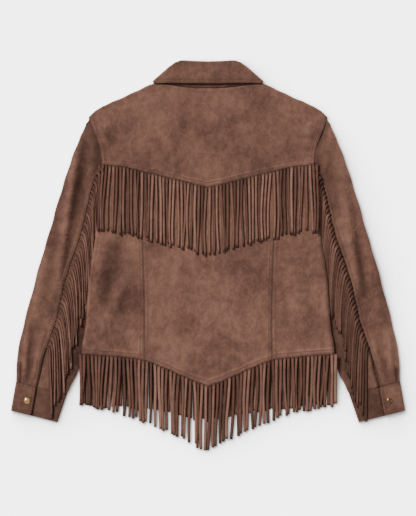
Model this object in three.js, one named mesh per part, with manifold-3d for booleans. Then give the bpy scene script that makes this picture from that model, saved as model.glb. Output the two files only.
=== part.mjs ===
// A suede jacket laid flat with its back up, in millimetres.
// +X is to the right of its back, +Y towards the collar and +Z up from the surface it lies on.
// Its cloth lies in layers: the sleeves, their fringe, the two fronts and then the back.
// The origin is under the middle of its outline, on that surface.
import * as THREE from 'three';
import { mergeVertices } from 'three/addons/utils/BufferGeometryUtils.js';
import Module from 'manifold-3d';

const { clamp, lerp, smoothstep, degToRad } = THREE.MathUtils;

// Thicknesses and clearances
const CLOTH = 1.5;
const CUFF_CLOTH = 1.8;
const FRINGE_CLOTH = 0.9;
const GAP = 0.3;
const STRIP_GAP = 0.6;
const ARMHOLE_GAP = 0.6;

// Heights of the cloth's undersides above the surface
const FRONT_OVER_SLEEVE = 5.4;
const FRONT_OVER_LEAF = 1.8;
const FRONT_OVERLAP = CLOTH + GAP;
const BACK_MIDDLE = 5.2;
const BACK_SIDE_RISE = 3.4;
const BACK_OVER_LEAF = 0.5;
const SHOULDER_EDGE = 1.9;
const NECK_EDGE_RISE = 2;
const SLEEVE_PRESSED = 1.9;
const SLEEVE_LOOSE = 1.1;
const ARMHOLE_RISE = { lower: 2.6, upper: 4.4, reach: 110, x: 211, y: 175 };
const POINT_SAG = 2.4;
const TIP_ABOVE_FLOOR = { front: 0.3, back: 1.9 };
const EDGE_TURN = { drop: 3.1, out: -2.2, in: 6, rest: 2, clear: 0.2, from: 120, to: 160 };
const CUFF_PRESS = { rise: 0.6, y: [225, 255], x: [338, 348] };

// Raised seam bands
const YOKE_BAND = { width: 9, rise: 1.6 };
const SEAM_BAND = { width: 8, rise: 0.4 };
const HEM_BAND = { width: 10, rise: 0.7 };
const SLEEVE_BAND = { width: 6, rise: 1.1 };
const SIDE_EDGE = { width: 2.2, rise: 0 };
const BAND_STEP = 1.5;

// The top of the back on one side: the neck seam, then the shoulder line
const TOP_EDGE = [
  { x: 0, y: 334.5 },
  { x: 27, y: 334.8 },
  { x: 55, y: 337.4 },
  { x: 84, y: 342.4 },
  { x: 112, y: 343 },
  { x: 130, y: 335.5 },
  { x: 164, y: 319.5 },
  { x: 200, y: 303.5 },
  { x: 216, y: 295.5 },
  { x: 228, y: 287 },
  { x: 237.5, y: 276 },
];
// The body's outer edge on one side: the armhole, then the side seam
const BODY_EDGE = [
  { y: 276, x: 237.5 },
  { y: 262, x: 233.2 },
  { y: 246, x: 227.6 },
  { y: 220, x: 217 },
  { y: 189, x: 211.8 },
  { y: 150, x: 212.5 },
  { y: 105, x: 215 },
  { y: 59, x: 222 },
  { y: 4, x: 230.5 },
  { y: -45, x: 238 },
  { y: -90, x: 241.5 },
  { y: -147, x: 245.5 },
  { y: -172, x: 250.5 },
  { y: -195.5, x: 252.5 },
];
// The yoke's pointed lower edge on one side
const YOKE_EDGE = [
  { x: 0, y: 136.5 },
  { x: 45, y: 147.5 },
  { x: 93, y: 159.5 },
  { x: 136, y: 169.5 },
  { x: 162, y: 176.5 },
  { x: 211.9, y: 183 },
];
// The back's pointed hem on one side
const HEM_EDGE = [
  { x: 0, y: -260.5 },
  { x: 35, y: -247 },
  { x: 70, y: -231.5 },
  { x: 100, y: -218.5 },
  { x: 130, y: -207.5 },
  { x: 180, y: -201 },
  { x: 225, y: -197.5 },
  { x: 252.5, y: -195.5 },
];
// The long seams between the centre back and the side panels
const LONG_SEAM = [
  { y: 169.7, x: 137 },
  { y: 90, x: 134 },
  { y: 0, x: 130 },
  { y: -100, x: 127 },
  { y: -208.3, x: 127.5 },
];
// A front's neckline, from past the centre front to the shoulder line
const NECKLINE = [
  { x: -14, y: 290 },
  { x: 14, y: 290 },
  { x: 38, y: 301 },
  { x: 60, y: 322 },
  { x: 80, y: 340.3 },
  { x: 110, y: 340.8 },
];
const FRONT_INSET = { side: 2.8, armhole: 1.6 };
const FRONT_HEM = { middle: -206, side: -197.5 };
const PLACKET = { overlap: 14, flat: 7, fade: 30 };

// A sleeve's three long lines: its outer fold, its back seam and its inner fold
const SLEEVE_OUTER = [
  { y: 274, x: 238.6 },
  { y: 251, x: 249 },
  { y: 211, x: 266 },
  { y: 171, x: 280 },
  { y: 111, x: 299 },
  { y: 51, x: 316 },
  { y: -9, x: 334 },
  { y: -89, x: 356 },
  { y: -169, x: 376 },
  { y: -209, x: 382 },
  { y: -251.5, x: 383.5 },
];
const SLEEVE_SEAM = [
  { y: 186, x: 212.2 },
  { y: 172, x: 218 },
  { y: 158, x: 226 },
  { y: 139, x: 231 },
  { y: 88, x: 243.4 },
  { y: 62, x: 249 },
  { y: 26, x: 259.6 },
  { y: -1, x: 269.5 },
  { y: -47, x: 284.6 },
  { y: -90, x: 294.6 },
  { y: -136, x: 305.5 },
  { y: -180, x: 321 },
  { y: -262, x: 342 },
];
const SLEEVE_INNER = [
  { y: 142, x: 213 },
  { y: 110, x: 207 },
  { y: 77, x: 202.5 },
  { y: 30, x: 201 },
  { y: -30, x: 202 },
  { y: -89, x: 206 },
  { y: -140, x: 220 },
  { y: -180, x: 237 },
  { y: -216, x: 253 },
  { y: -250, x: 269 },
  { y: -275, x: 281.5 },
];
// Where each section across a sleeve meets the three lines, and how far it follows the armhole
const SLEEVE_SECTIONS = [
  { outer: 274, seam: 186, inner: 142, armhole: 1 },
  { outer: 238, seam: 168, inner: 124, armhole: 0.45 },
  { outer: 202, seam: 148, inner: 104, armhole: 0.1 },
  { outer: 162, seam: 122, inner: 78, armhole: 0 },
  { outer: 120, seam: 92, inner: 48, armhole: 0 },
  { outer: 74, seam: 56, inner: 12, armhole: 0 },
  { outer: 26, seam: 14, inner: -24, armhole: 0 },
  { outer: -22, seam: -30, inner: -62, armhole: 0 },
  { outer: -70, seam: -76, inner: -104, armhole: 0 },
  { outer: -116, seam: -122, inner: -146, armhole: 0 },
  { outer: -160, seam: -166, inner: -190, armhole: 0 },
  { outer: -200, seam: -208, inner: -228, armhole: 0 },
  { outer: -230, seam: -240, inner: -256, armhole: 0 },
  { outer: -251.5, seam: -261, inner: -275, armhole: 0 },
];
const FRONT_SEAM = 0.55;
const FOLD_RADIUS = 1.7;
const FOLD_TURNS = [30, -30];

// Soft folds, each a ridge or a trough from one end to the other through a middle
const FOLDS = [
  { on: 'sleeve', x1: -254, y1: 236, x2: -278, y2: 95, x3: -300, y3: -75, height: 4.6, width: 9 },
  { on: 'sleeve', x1: -240, y1: 215, x2: -247, y2: 165, x3: -257, y3: 90, height: -1, width: 9 },
  { on: 'sleeve', x1: -314, y1: 30, x2: -330, y2: -50, x3: -345, y3: -130, height: 2.4, width: 11 },
  { on: 'sleeve', x1: -356, y1: -130, x2: -362, y2: -190, x3: -366, y3: -246, height: 2.6, width: 7 },
  { on: 'sleeve', x1: -328, y1: -170, x2: -338, y2: -210, x3: -350, y3: -250, height: 2, width: 8 },
  { on: 'sleeve', x1: 268, y1: 170, x2: 284, y2: 60, x3: 303, y3: -75, height: 4.2, width: 9 },
  { on: 'sleeve', x1: 242, y1: 205, x2: 250, y2: 150, x3: 258, y3: 90, height: -1, width: 9 },
  { on: 'sleeve', x1: 322, y1: 10, x2: 336, y2: -60, x3: 350, y3: -140, height: 2.6, width: 12 },
  { on: 'sleeve', x1: 360, y1: -150, x2: 366, y2: -200, x3: 368, y3: -246, height: 2.6, width: 7 },
  { on: 'sleeve', x1: 330, y1: -180, x2: 340, y2: -215, x3: 350, y3: -250, height: 1.8, width: 8 },
  { on: 'back', x1: -206, y1: 276, x2: -204, y2: 250, x3: -202, y3: 222, height: 2.2, width: 9 },
  { on: 'back', x1: 207, y1: 270, x2: 204, y2: 246, x3: 202, y3: 220, height: 2, width: 9 },
  { on: 'back', x1: -170, y1: 20, x2: -188, y2: -35, x3: -206, y3: -95, height: -1.2, width: 14 },
  { on: 'back', x1: -158, y1: -40, x2: -180, y2: -95, x3: -206, y3: -140, height: 2.2, width: 13 },
  { on: 'back', x1: 160, y1: -20, x2: 182, y2: -70, x3: 205, y3: -130, height: 2, width: 14 },
  { on: 'back', x1: -60, y1: -10, x2: -52, y2: -80, x3: -56, y3: -150, height: 1.4, width: 18 },
  { on: 'back', x1: 66, y1: 0, x2: 58, y2: -70, x3: 64, y3: -140, height: 1.3, width: 18 },
];
const FOLD_STEPS = 12;
const FOLD_FADE = [0.12, 0.88];
const DEEPEST_GAP = 2.4;

// The collar: its fall turns over at the roll, and its leaves turn under at a slanting fold
const COLLAR_FALL = { middle: 6.45, leaf: CLOTH / 2, outward: Math.SQRT1_2 };
const COLLAR_BACK = [
  { rollX: 0, rollY: 388.6, edgeX: 0, edgeY: 345.6 },
  { rollX: 30, rollY: 389.6, edgeX: 38, edgeY: 345.8 },
  { rollX: 52, rollY: 390.7, edgeX: 76, edgeY: 345.6 },
];
const COLLAR_FOLD = { rollX: 61.5, rollY: 388, edgeX: 108, edgeY: 343.6 };
const COLLAR_LEAF = [
  { rollX: 60, rollY: 350, edgeX: 112, edgeY: 308 },
  { rollX: 40, rollY: 320, edgeX: 99, edgeY: 272 },
  { rollX: 14, rollY: 301, edgeX: 72, edgeY: 240 },
];
const COLLAR_TURNS = [90, 45, 0, -45, -90];
const COLLAR_ACROSS = 4;
const STAND = { level: 3.9, topX: 56, topY: 385, neckX: 82 };

// A cuff: its flap lies over its underlap
const CUFF = {
  top: { outerX: 384, outerY: -252.2, innerX: 281.6, innerY: -275.6 },
  bottom: { outerX: 394, outerY: -309, innerX: 301, innerY: -332.5 },
  flap: 42,
  underlap: 26,
  underlapTop: 4,
  flapTop: 6.1,
};
const CUFF_ROWS = 3;
const CUFF_TURNS = [90, 30, -30, -90];
const SNAP = { radius: 6, height: 1.6, crown: 0.7 };
const CUFF_SNAP = { x: 361.5, y: -289.5 };
const FRONT_SNAPS = { count: 6, first: 205, pitch: 75 };

// How unevenly the strands hang, and how much narrower than its root a strand is
const UNEVEN = { tip: 3, tipTurn: 2.7, bendTurn: 1.9, endTurn: 2.3, narrow: 0.94 };
// The fringes: how many strands each has, how wide they are, and their tips' line
const YOKE_FRINGE = { strands: 61, reach: 217, width: 4.9, wander: 0.8, strip: 2.6 };
const YOKE_TIPS = [
  { x: -217, y: 51 },
  { x: -168, y: 43 },
  { x: -126, y: 34 },
  { x: -99, y: 26 },
  { x: -39, y: 12 },
  { x: -1, y: 2 },
  { x: 32, y: 11 },
  { x: 86, y: 26 },
  { x: 144, y: 38 },
  { x: 192, y: 47 },
  { x: 217, y: 49 },
];
const HEM_FRINGE = { strands: 63, reach: 255, width: 5.3, wander: 1, strip: 2.6 };
const HEM_TIPS = [
  { x: -256, y: -298 },
  { x: -186, y: -312 },
  { x: -116, y: -337 },
  { x: -52, y: -364 },
  { x: 0, y: -388.5 },
  { x: 40, y: -369 },
  { x: 96, y: -345 },
  { x: 156, y: -317 },
  { x: 204, y: -308 },
  { x: 256, y: -298 },
];
const FRONT_FRINGE = { strands: 24, width: 6, wander: 1, strip: 2.6, inner: 6, outer: 247 };
const FRONT_TIPS = [
  { x: 0, y: -330 },
  { x: 40, y: -324 },
  { x: 82, y: -313 },
  { x: 128, y: -307 },
  { x: 247, y: -298 },
];
const SLEEVE_FRINGE = { strands: 24, first: 120, last: -178, rootWidth: 5, width: 2, strip: 2.6, clear: 2.5 };
// How a sleeve's strand leaves its seam: its share of the length, and of its swing towards the body
const SLEEVE_STRAND = [
  { down: 0.05, swing: 0.5 },
  { down: 0.3, swing: 0.85 },
  { down: 1, swing: 1 },
];
// The length and swing of the strands along the sleeve
const SLEEVE_STRANDS = [
  { root: 120, length: 122, swing: 2 },
  { root: 90, length: 135, swing: 4 },
  { root: 30, length: 140, swing: 9 },
  { root: -60, length: 140, swing: 14 },
  { root: -130, length: 146, swing: 12 },
  { root: -178, length: 152, swing: 3 },
];

const SUEDE = new THREE.MeshStandardMaterial({ color: 0x7d5a4c, roughness: 0.95, metalness: 0 });
const DARK_SUEDE = new THREE.MeshStandardMaterial({ color: 0x68493d, roughness: 0.95, metalness: 0 });
const BRASS = new THREE.MeshStandardMaterial({ color: 0xb08d57, roughness: 0.35, metalness: 1 });

// Reads a column of a table between its rows, on a smooth curve through them.
function read(rows, key, column, place) {
  const direction = Math.sign(rows.at(-1)[key] - rows[0][key]);
  let i = 0;
  while (i < rows.length - 2 && (place - rows[i + 1][key]) * direction > 0) i += 1;
  const slope = (j) => {
    const before = rows[Math.max(j - 1, 0)];
    const after = rows[Math.min(j + 1, rows.length - 1)];
    return (after[column] - before[column]) / (after[key] - before[key]);
  };
  const span = rows[i + 1][key] - rows[i][key];
  const t = clamp((place - rows[i][key]) / span, 0, 1);
  const start = rows[i][column] + slope(i) * span * t;
  const end = rows[i + 1][column] - slope(i + 1) * span * (1 - t);
  const near = lerp(rows[i][column], start, 1 - t);
  const far = lerp(rows[i + 1][column], end, t);
  return lerp(near, far, smoothstep(t, 0, 1));
}

const topY = (x) => read(TOP_EDGE, 'x', 'y', Math.abs(x));
const bodyX = (y) => read(BODY_EDGE, 'y', 'x', y);
const yokeY = (x) => read(YOKE_EDGE, 'x', 'y', Math.abs(x));
const hemY = (x) => read(HEM_EDGE, 'x', 'y', Math.abs(x));
const seamX = (y) => read(LONG_SEAM, 'y', 'x', y);

// How high the folds of a part raise or lower the cloth at a place.
function foldHeight(on, x, y) {
  let height = 0;
  for (const fold of FOLDS.filter((row) => row.on === on)) {
    const path = new THREE.QuadraticBezierCurve(
      new THREE.Vector2(fold.x1, fold.y1),
      new THREE.Vector2(fold.x2, fold.y2),
      new THREE.Vector2(fold.x3, fold.y3),
    );
    for (let i = 0, best = 0; i <= FOLD_STEPS; i += 1) {
      const t = i / FOLD_STEPS;
      const away = path.getPoint(t).distanceTo(new THREE.Vector2(x, y)) / fold.width;
      const here = Math.exp(-away * away) * Math.sin(Math.PI * lerp(...FOLD_FADE, t));
      if (here > best) {
        height += (here - best) * fold.height;
        best = here;
      }
    }
  }
  return height;
}

// How far the body's sides are lifted over the sleeves, from 0 to 1.
function sideLift(x, y) {
  return smoothstep(Math.abs(x), 150, 196) * (1 - smoothstep(y, 150, 230));
}

// Where the fronts lie over the collar's leaves, from 0 to 1.
function leafLift(x, y) {
  return (1 - smoothstep(Math.abs(x), 119, 150)) * smoothstep(y, 200, 234);
}

function frontLevel(x, y) {
  return FRONT_OVER_SLEEVE * sideLift(x, y) + FRONT_OVER_LEAF * leafLift(x, y);
}

// The right front lies over the left one at the centre front.
function rightFrontLevel(x, y) {
  const overlap = 1 - smoothstep(x, PLACKET.overlap + PLACKET.flat, PLACKET.overlap + PLACKET.fade);
  return frontLevel(x, y) + FRONT_OVERLAP * overlap;
}

// The back's underside, without the turn at its side edges.
function backLevel(x, y) {
  const leaf = leafLift(x, y);
  const middle = BACK_MIDDLE + BACK_SIDE_RISE * sideLift(x, y) + BACK_OVER_LEAF * leaf;
  const shoulder = SHOULDER_EDGE + NECK_EDGE_RISE * leaf;
  const sag = POINT_SAG * smoothstep(-y, 206, 250);
  const inside = smoothstep(topY(x) - y, 0, 50);
  return lerp(shoulder, middle + foldHeight('back', x, y) * inside, inside) - sag;
}

// The back's edge turns down over the front's at the side seam.
function turnedBackLevel(x, y) {
  const fromEdge = bodyX(y) - Math.abs(x);
  const side = 1 - smoothstep(y, EDGE_TURN.from, EDGE_TURN.to);
  const flat = backLevel(x, y);
  const turned = flat - EDGE_TURN.drop * (1 - smoothstep(fromEdge, EDGE_TURN.out, EDGE_TURN.in));
  const onFront = frontLevel(x, y) + (fromEdge < EDGE_TURN.rest ? EDGE_TURN.clear : CLOTH + GAP);
  return side > 0 ? lerp(flat, Math.max(turned, onFront), side) : flat;
}

// How much of the armhole's rise a sleeve has at a place.
function armholeRise(x, y) {
  const away = Math.hypot(Math.abs(x) - ARMHOLE_RISE.x, y - ARMHOLE_RISE.y);
  return (1 - smoothstep(away, 0, ARMHOLE_RISE.reach)) * smoothstep(y, 125, 170);
}

function sleeveFold(x, y) {
  const outside = smoothstep(Math.abs(x) - bodyX(y), 8, 24);
  return foldHeight('sleeve', x, y) * outside;
}

function lowerSleeveLevel(x, y) {
  const lifted = Math.max(0, sleeveFold(x, y) + SLEEVE_LOOSE - DEEPEST_GAP);
  return ARMHOLE_RISE.lower * armholeRise(x, y) + lifted;
}

function upperSleeveLevel(x, y) {
  const loose = smoothstep(Math.abs(x) - bodyX(y), 2, 24);
  const cuff = smoothstep(-y, ...CUFF_PRESS.y) * smoothstep(Math.abs(x), ...CUFF_PRESS.x);
  const rise = ARMHOLE_RISE.upper * armholeRise(x, y);
  return SLEEVE_PRESSED + SLEEVE_LOOSE * loose + rise + CUFF_PRESS.rise * cuff + sleeveFold(x, y);
}

// Makes a geometry whose faces point out.
function solid(points, faces) {
  const geometry = new THREE.BufferGeometry();
  geometry.setAttribute('position', new THREE.Float32BufferAttribute(points.flat(), 3));
  let volume = 0;
  for (let i = 0; i < faces.length; i += 3) {
    const [a, b, c] = [0, 1, 2].map((k) => new THREE.Vector3(...points[faces[i + k]]));
    volume += a.dot(b.cross(c));
  }
  geometry.setIndex(volume > 0 ? faces : faces.toReversed());
  geometry.computeVertexNormals();
  return geometry;
}

// One closed wall between an outer and an inner grid of points.
function wall(outer, inner) {
  const rows = outer.length;
  const columns = outer[0].length;
  const faces = [];
  const at = (layer, i, j) => (layer * rows + i) * columns + j;
  const quad = (a, b, c, d) => faces.push(a, b, c, a, c, d);
  for (let i = 0; i < rows - 1; i += 1) {
    for (let j = 0; j < columns - 1; j += 1) {
      quad(at(0, i, j), at(0, i + 1, j), at(0, i + 1, j + 1), at(0, i, j + 1));
      quad(at(1, i, j), at(1, i, j + 1), at(1, i + 1, j + 1), at(1, i + 1, j));
    }
    const last = columns - 1;
    quad(at(0, i, 0), at(1, i, 0), at(1, i + 1, 0), at(0, i + 1, 0));
    quad(at(0, i, last), at(0, i + 1, last), at(1, i + 1, last), at(1, i, last));
  }
  for (let j = 0; j < columns - 1; j += 1) {
    const last = rows - 1;
    quad(at(0, 0, j), at(0, 0, j + 1), at(1, 0, j + 1), at(1, 0, j));
    quad(at(0, last, j), at(1, last, j), at(1, last, j + 1), at(0, last, j + 1));
  }
  return solid([...outer.flat(), ...inner.flat()], faces);
}

// The plan of a panel from its four edges, each a function from 0 to 1 that gives x and y.
function patch({ top, bottom, left, right }) {
  return (u, v) => [0, 1].map((axis) => {
    const down = lerp(top(u)[axis], bottom(u)[axis], v);
    const across = lerp(left(v)[axis], right(v)[axis], u);
    const corners = lerp(
      lerp(top(0)[axis], top(1)[axis], u),
      lerp(bottom(0)[axis], bottom(1)[axis], u),
      v,
    );
    return down + across - corners;
  });
}

// Even steps from 0 to 1 with extra ones at the raised bands beside either end.
function steps(count, length, bands) {
  const stops = [0, 1];
  let start = 0;
  let end = 1;
  if (bands.first) {
    start = (bands.first.width + BAND_STEP) / length;
    stops.push(bands.first.width / length, start);
  }
  if (bands.last) {
    end = 1 - (bands.last.width + BAND_STEP) / length;
    stops.push(1 - bands.last.width / length, end);
  }
  for (let i = 1; i < count; i += 1) stops.push(lerp(start, end, i / count));
  return stops.sort((a, b) => a - b);
}

// How far the bands raise the outer surface at a place between 0 and 1.
function bandRise(place, length, bands) {
  const inBand = (band, distance) => (band && distance <= band.width + 0.01 ? band.rise : 0);
  const first = inBand(bands.first, place * length);
  const last = inBand(bands.last, (1 - place) * length);
  return Math.max(first, last);
}

// A flat panel: its plan, its size and steps each way, its raised bands and its underside.
function panel({ plan, across, down, level }) {
  const outer = [];
  const inner = [];
  for (const v of steps(down.count, down.length, down)) {
    const places = steps(across.count, across.length, across).map((u) => [u, ...plan(u, v)]);
    const rise = bandRise(v, down.length, down);
    inner.push(places.map(([, x, y]) => [x, y, level(x, y)]));
    outer.push(places.map(([u, x, y]) => {
      const raised = Math.max(rise, bandRise(u, across.length, across));
      return [x, y, level(x, y) + CLOTH + raised];
    }));
  }
  return wall(outer, inner);
}

function backYoke() {
  const [shoulder, corner] = [TOP_EDGE.at(-1), YOKE_EDGE.at(-1)];
  const side = (sign) => (v) => {
    const y = lerp(shoulder.y, corner.y, v);
    return [sign * bodyX(y), y];
  };
  const plan = patch({
    top: (u) => [lerp(-shoulder.x, shoulder.x, u), topY(lerp(-shoulder.x, shoulder.x, u))],
    bottom: (u) => [lerp(-corner.x, corner.x, u), yokeY(lerp(-corner.x, corner.x, u))],
    left: side(-1),
    right: side(1),
  });
  return panel({
    plan,
    across: { count: 26, length: 450, first: SEAM_BAND, last: SEAM_BAND },
    down: { count: 8, length: 170, last: YOKE_BAND },
    level: backLevel,
  });
}

// The y of a back panel's ends at a place across it.
const underYoke = (x) => yokeY(x) - GAP;

function backCentre() {
  const [topSeam, hemSeam] = [LONG_SEAM[0], LONG_SEAM.at(-1)];
  const half = GAP / 2;
  const across = (row) => (u) => lerp(-row.x + half, row.x - half, u);
  const side = (sign) => (v) => {
    const y = lerp(underYoke(topSeam.x), hemY(hemSeam.x), v);
    return [sign * (seamX(y) - half), y];
  };
  const plan = patch({
    top: (u) => [across(topSeam)(u), underYoke(across(topSeam)(u))],
    bottom: (u) => [across(hemSeam)(u), hemY(across(hemSeam)(u))],
    left: side(-1),
    right: side(1),
  });
  return panel({
    plan,
    across: { count: 14, length: 262, first: SEAM_BAND, last: SEAM_BAND },
    down: { count: 14, length: 385, last: HEM_BAND },
    level: backLevel,
  });
}

function backSide(sign) {
  const [topSeam, hemSeam] = [LONG_SEAM[0], LONG_SEAM.at(-1)];
  const [topCorner, hemCorner] = [YOKE_EDGE.at(-1), HEM_EDGE.at(-1)];
  const top = (u) => {
    const x = lerp(topSeam.x + GAP / 2, topCorner.x, u);
    return [sign * x, underYoke(x)];
  };
  const bottom = (u) => {
    const x = lerp(hemSeam.x + GAP / 2, hemCorner.x, u);
    return [sign * x, hemY(x)];
  };
  const left = (v) => {
    const y = lerp(underYoke(topSeam.x), hemY(hemSeam.x), v);
    return [sign * (seamX(y) + GAP / 2), y];
  };
  const right = (v) => {
    const y = lerp(underYoke(topCorner.x), hemCorner.y, v);
    return [sign * bodyX(y), y];
  };
  return panel({
    plan: patch({ top, bottom, left, right }),
    across: { count: 7, length: 100, last: SIDE_EDGE },
    down: { count: 14, length: 380, last: HEM_BAND },
    level: turnedBackLevel,
  });
}

// The front's plan on either side, with its placket past the centre front.
function frontPlan(sign) {
  const shoulder = TOP_EDGE.filter((row) => row.x > NECKLINE.at(-1).x + 5);
  const neck = NECKLINE.map((row) => new THREE.Vector2(sign * row.x, row.y));
  const along = shoulder.map((row) => new THREE.Vector2(sign * (row.x - 1.6), row.y - 2.2));
  const line = new THREE.SplineCurve([...neck, ...along]);
  const end = along.at(-1);
  const inset = (y) => lerp(FRONT_INSET.side, FRONT_INSET.armhole, smoothstep(y, 140, 190));
  return patch({
    top: (u) => line.getPointAt(u).toArray(),
    bottom: (u) => {
      const side = bodyX(FRONT_HEM.side) - FRONT_INSET.side;
      return [sign * lerp(-PLACKET.overlap, side, u), lerp(FRONT_HEM.middle, FRONT_HEM.side, u ** 2)];
    },
    left: (v) => [-sign * PLACKET.overlap, lerp(NECKLINE[0].y, FRONT_HEM.middle, v)],
    right: (v) => {
      const y = lerp(end.y, FRONT_HEM.side, v);
      const x = bodyX(y) - inset(y);
      return [sign * lerp(Math.abs(end.x), x, smoothstep(v, 0, 0.03)), y];
    },
  });
}

function front(sign) {
  return panel({
    plan: frontPlan(sign),
    across: { count: 11, length: 262, first: { width: 2 * PLACKET.overlap + PLACKET.flat, rise: 0 } },
    down: { count: 14, length: 480 },
    level: sign > 0 ? rightFrontLevel : frontLevel,
  });
}

// A snap's low cap, with a rounded top or a flat one.
function snapCap(crown) {
  const profile = [
    new THREE.Vector2(0, 0),
    new THREE.Vector2(SNAP.radius, 0),
    new THREE.Vector2(SNAP.radius, SNAP.height - SNAP.crown),
    new THREE.Vector2(SNAP.radius * 0.7, SNAP.height - SNAP.crown + crown * 0.8),
    new THREE.Vector2(0, SNAP.height - SNAP.crown + crown),
  ];
  return new THREE.LatheGeometry(profile, 14).rotateX(Math.PI / 2);
}

// The plan of a sleeve between two of its long lines, at a section and a share of the way across.
function sleevePlan(section, from, to, share) {
  const lines = { outer: SLEEVE_OUTER, seam: SLEEVE_SEAM, inner: SLEEVE_INNER };
  const [start, end] = [from, to].map((name) => {
    const y = section[name];
    return [read(lines[name], 'y', 'x', y), y];
  });
  const y = lerp(start[1], end[1], share);
  const straight = lerp(start[0], end[0], share);
  const fromOuter = { outer: share, inner: to === 'outer' ? 1 - share : 1 }[from];
  const near = section.armhole < 1 ? Math.min(1, 2 * fromOuter) : 1;
  return [lerp(straight, bodyX(y) + ARMHOLE_GAP, section.armhole * near), y];
}

// The sleeve's back seam as its pieces have it, straight from one section to the next.
function sleeveSeamX(y) {
  let i = 0;
  while (i < SLEEVE_SECTIONS.length - 2 && y < SLEEVE_SECTIONS[i + 1].seam) i += 1;
  const [above, below] = [SLEEVE_SECTIONS[i], SLEEVE_SECTIONS[i + 1]];
  const share = (above.seam - y) / (above.seam - below.seam);
  const [start, end] = [above, below].map((section) => sleevePlan(section, 'outer', 'seam', 1)[0]);
  return lerp(start, end, share);
}

// A sleeve piece: from the back seam over the outer or inner fold to the front seam below.
function sleevePiece(sign, edge, count, topShare) {
  const outer = [];
  const inner = [];
  const far = edge === 'outer' ? 'inner' : 'outer';
  const lowShare = edge === 'outer' ? FRONT_SEAM : 1 - FRONT_SEAM;
  for (const section of SLEEVE_SECTIONS) {
    const rim = sleevePlan(section, edge, 'seam', 0);
    const top = (share) => sleevePlan(section, edge, 'seam', share);
    const low = (share) => sleevePlan(section, edge, far, share);
    const topLength = Math.hypot(top(1)[0] - rim[0], top(1)[1] - rim[1]);
    const lowLength = Math.hypot(low(1)[0] - rim[0], low(1)[1] - rim[1]);
    const outerRow = [];
    const innerRow = [];
    const seamGap = GAP / 2 / topLength;
    for (const share of topShare) {
      const [x, y] = top(lerp(FOLD_RADIUS / topLength, 1 - seamGap, share));
      const under = upperSleeveLevel(sign * x, y);
      const band = edge === 'outer' && (1 - share) * topLength < SLEEVE_BAND.width + 0.5;
      const raised = band && section.armhole < 1 ? SLEEVE_BAND.rise : 0;
      outerRow.push([sign * x, y, under + CLOTH + raised]);
      innerRow.push([sign * x, y, under]);
    }
    for (const turn of FOLD_TURNS) {
      const angle = degToRad(turn);
      const [x0, y0] = top(FOLD_RADIUS / topLength);
      const [highest, lowest] = [
        upperSleeveLevel(sign * x0, y0) + CLOTH,
        lowerSleeveLevel(sign * x0, y0),
      ];
      const middle = (highest + lowest) / 2;
      const half = (highest - lowest) / 2;
      const place = (radius, rise) => {
        const [x, y] = top((FOLD_RADIUS - radius * Math.cos(angle)) / topLength);
        return [sign * x, y, middle + rise * Math.sin(angle)];
      };
      outerRow.push(place(FOLD_RADIUS, half));
      innerRow.push(place(FOLD_RADIUS - CLOTH, half - CLOTH));
    }
    for (let i = 0; i <= count; i += 1) {
      const [x, y] = low(lerp(FOLD_RADIUS / lowLength, lowShare - GAP / 2 / lowLength, i / count));
      const under = lowerSleeveLevel(sign * x, y);
      outerRow.push([sign * x, y, under]);
      innerRow.push([sign * x, y, under + CLOTH]);
    }
    outer.push(outerRow);
    inner.push(innerRow);
  }
  return wall(outer, inner);
}

function sleeveUpper(sign) {
  return sleevePiece(sign, 'outer', 4, [1, 0.93, 0.91, 0.76, 0.61, 0.46, 0.31, 0.16, 0]);
}

function sleeveUnder(sign) {
  return sleevePiece(sign, 'inner', 3, [1, 0.75, 0.5, 0.25, 0]);
}

// A cuff: a strip wound once round, from its flap's edge to the end of its underlap.
function cuff(sign) {
  const { top, bottom, flap, underlap, underlapTop, flapTop } = CUFF;
  const outer = [];
  const inner = [];
  for (let i = 0; i <= CUFF_ROWS; i += 1) {
    const share = i / CUFF_ROWS;
    const rim = [lerp(top.outerX, bottom.outerX, share), lerp(top.outerY, bottom.outerY, share)];
    const end = [lerp(top.innerX, bottom.innerX, share), lerp(top.innerY, bottom.innerY, share)];
    const width = Math.hypot(end[0] - rim[0], end[1] - rim[1]);
    const place = (inward, z) => {
      const t = inward / width;
      return [sign * lerp(rim[0], end[0], t), lerp(rim[1], end[1], t), z];
    };
    const outerRow = [];
    const innerRow = [];
    const add = (inward, z, outwards, upwards) => {
      outerRow.push(place(inward - CUFF_CLOTH * outwards, z + CUFF_CLOTH * upwards));
      innerRow.push(place(inward, z));
    };
    const flapBend = flapTop / 2;
    const underBend = underlapTop / 2;
    add(flap, flapTop - CUFF_CLOTH, 0, 1);
    for (const turn of CUFF_TURNS) {
      const angle = degToRad(turn);
      const [out, up] = [Math.cos(angle), Math.sin(angle)];
      add(flapBend - (flapBend - CUFF_CLOTH) * out, flapBend + (flapBend - CUFF_CLOTH) * up, out, up);
    }
    for (const turn of CUFF_TURNS.toReversed()) {
      const angle = degToRad(turn);
      const [out, up] = [Math.cos(angle), Math.sin(angle)];
      const bend = underBend - CUFF_CLOTH;
      add(width - underBend + bend * out, underBend + bend * up, -out, up);
    }
    add(underlap, underlapTop - CUFF_CLOTH, 0, 1);
    outer.push(outerRow);
    inner.push(innerRow);
  }
  return wall(outer, inner);
}

// The collar's stand, seen as a crescent between the fall and the neck seam.
function collarStand() {
  const { level, topX, topY: rollY, neckX } = STAND;
  const neckY = (x) => topY(x) + GAP;
  const side = (sign) => (v) => [sign * lerp(topX, neckX, v), lerp(rollY, neckY(neckX), v)];
  return panel({
    plan: patch({
      top: (u) => [lerp(-topX, topX, u), rollY],
      bottom: (u) => [lerp(-neckX, neckX, u), neckY(lerp(-neckX, neckX, u))],
      left: side(-1),
      right: side(1),
    }),
    across: { count: 12, length: 160 },
    down: { count: 3, length: 50 },
    level: () => level,
  });
}

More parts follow.
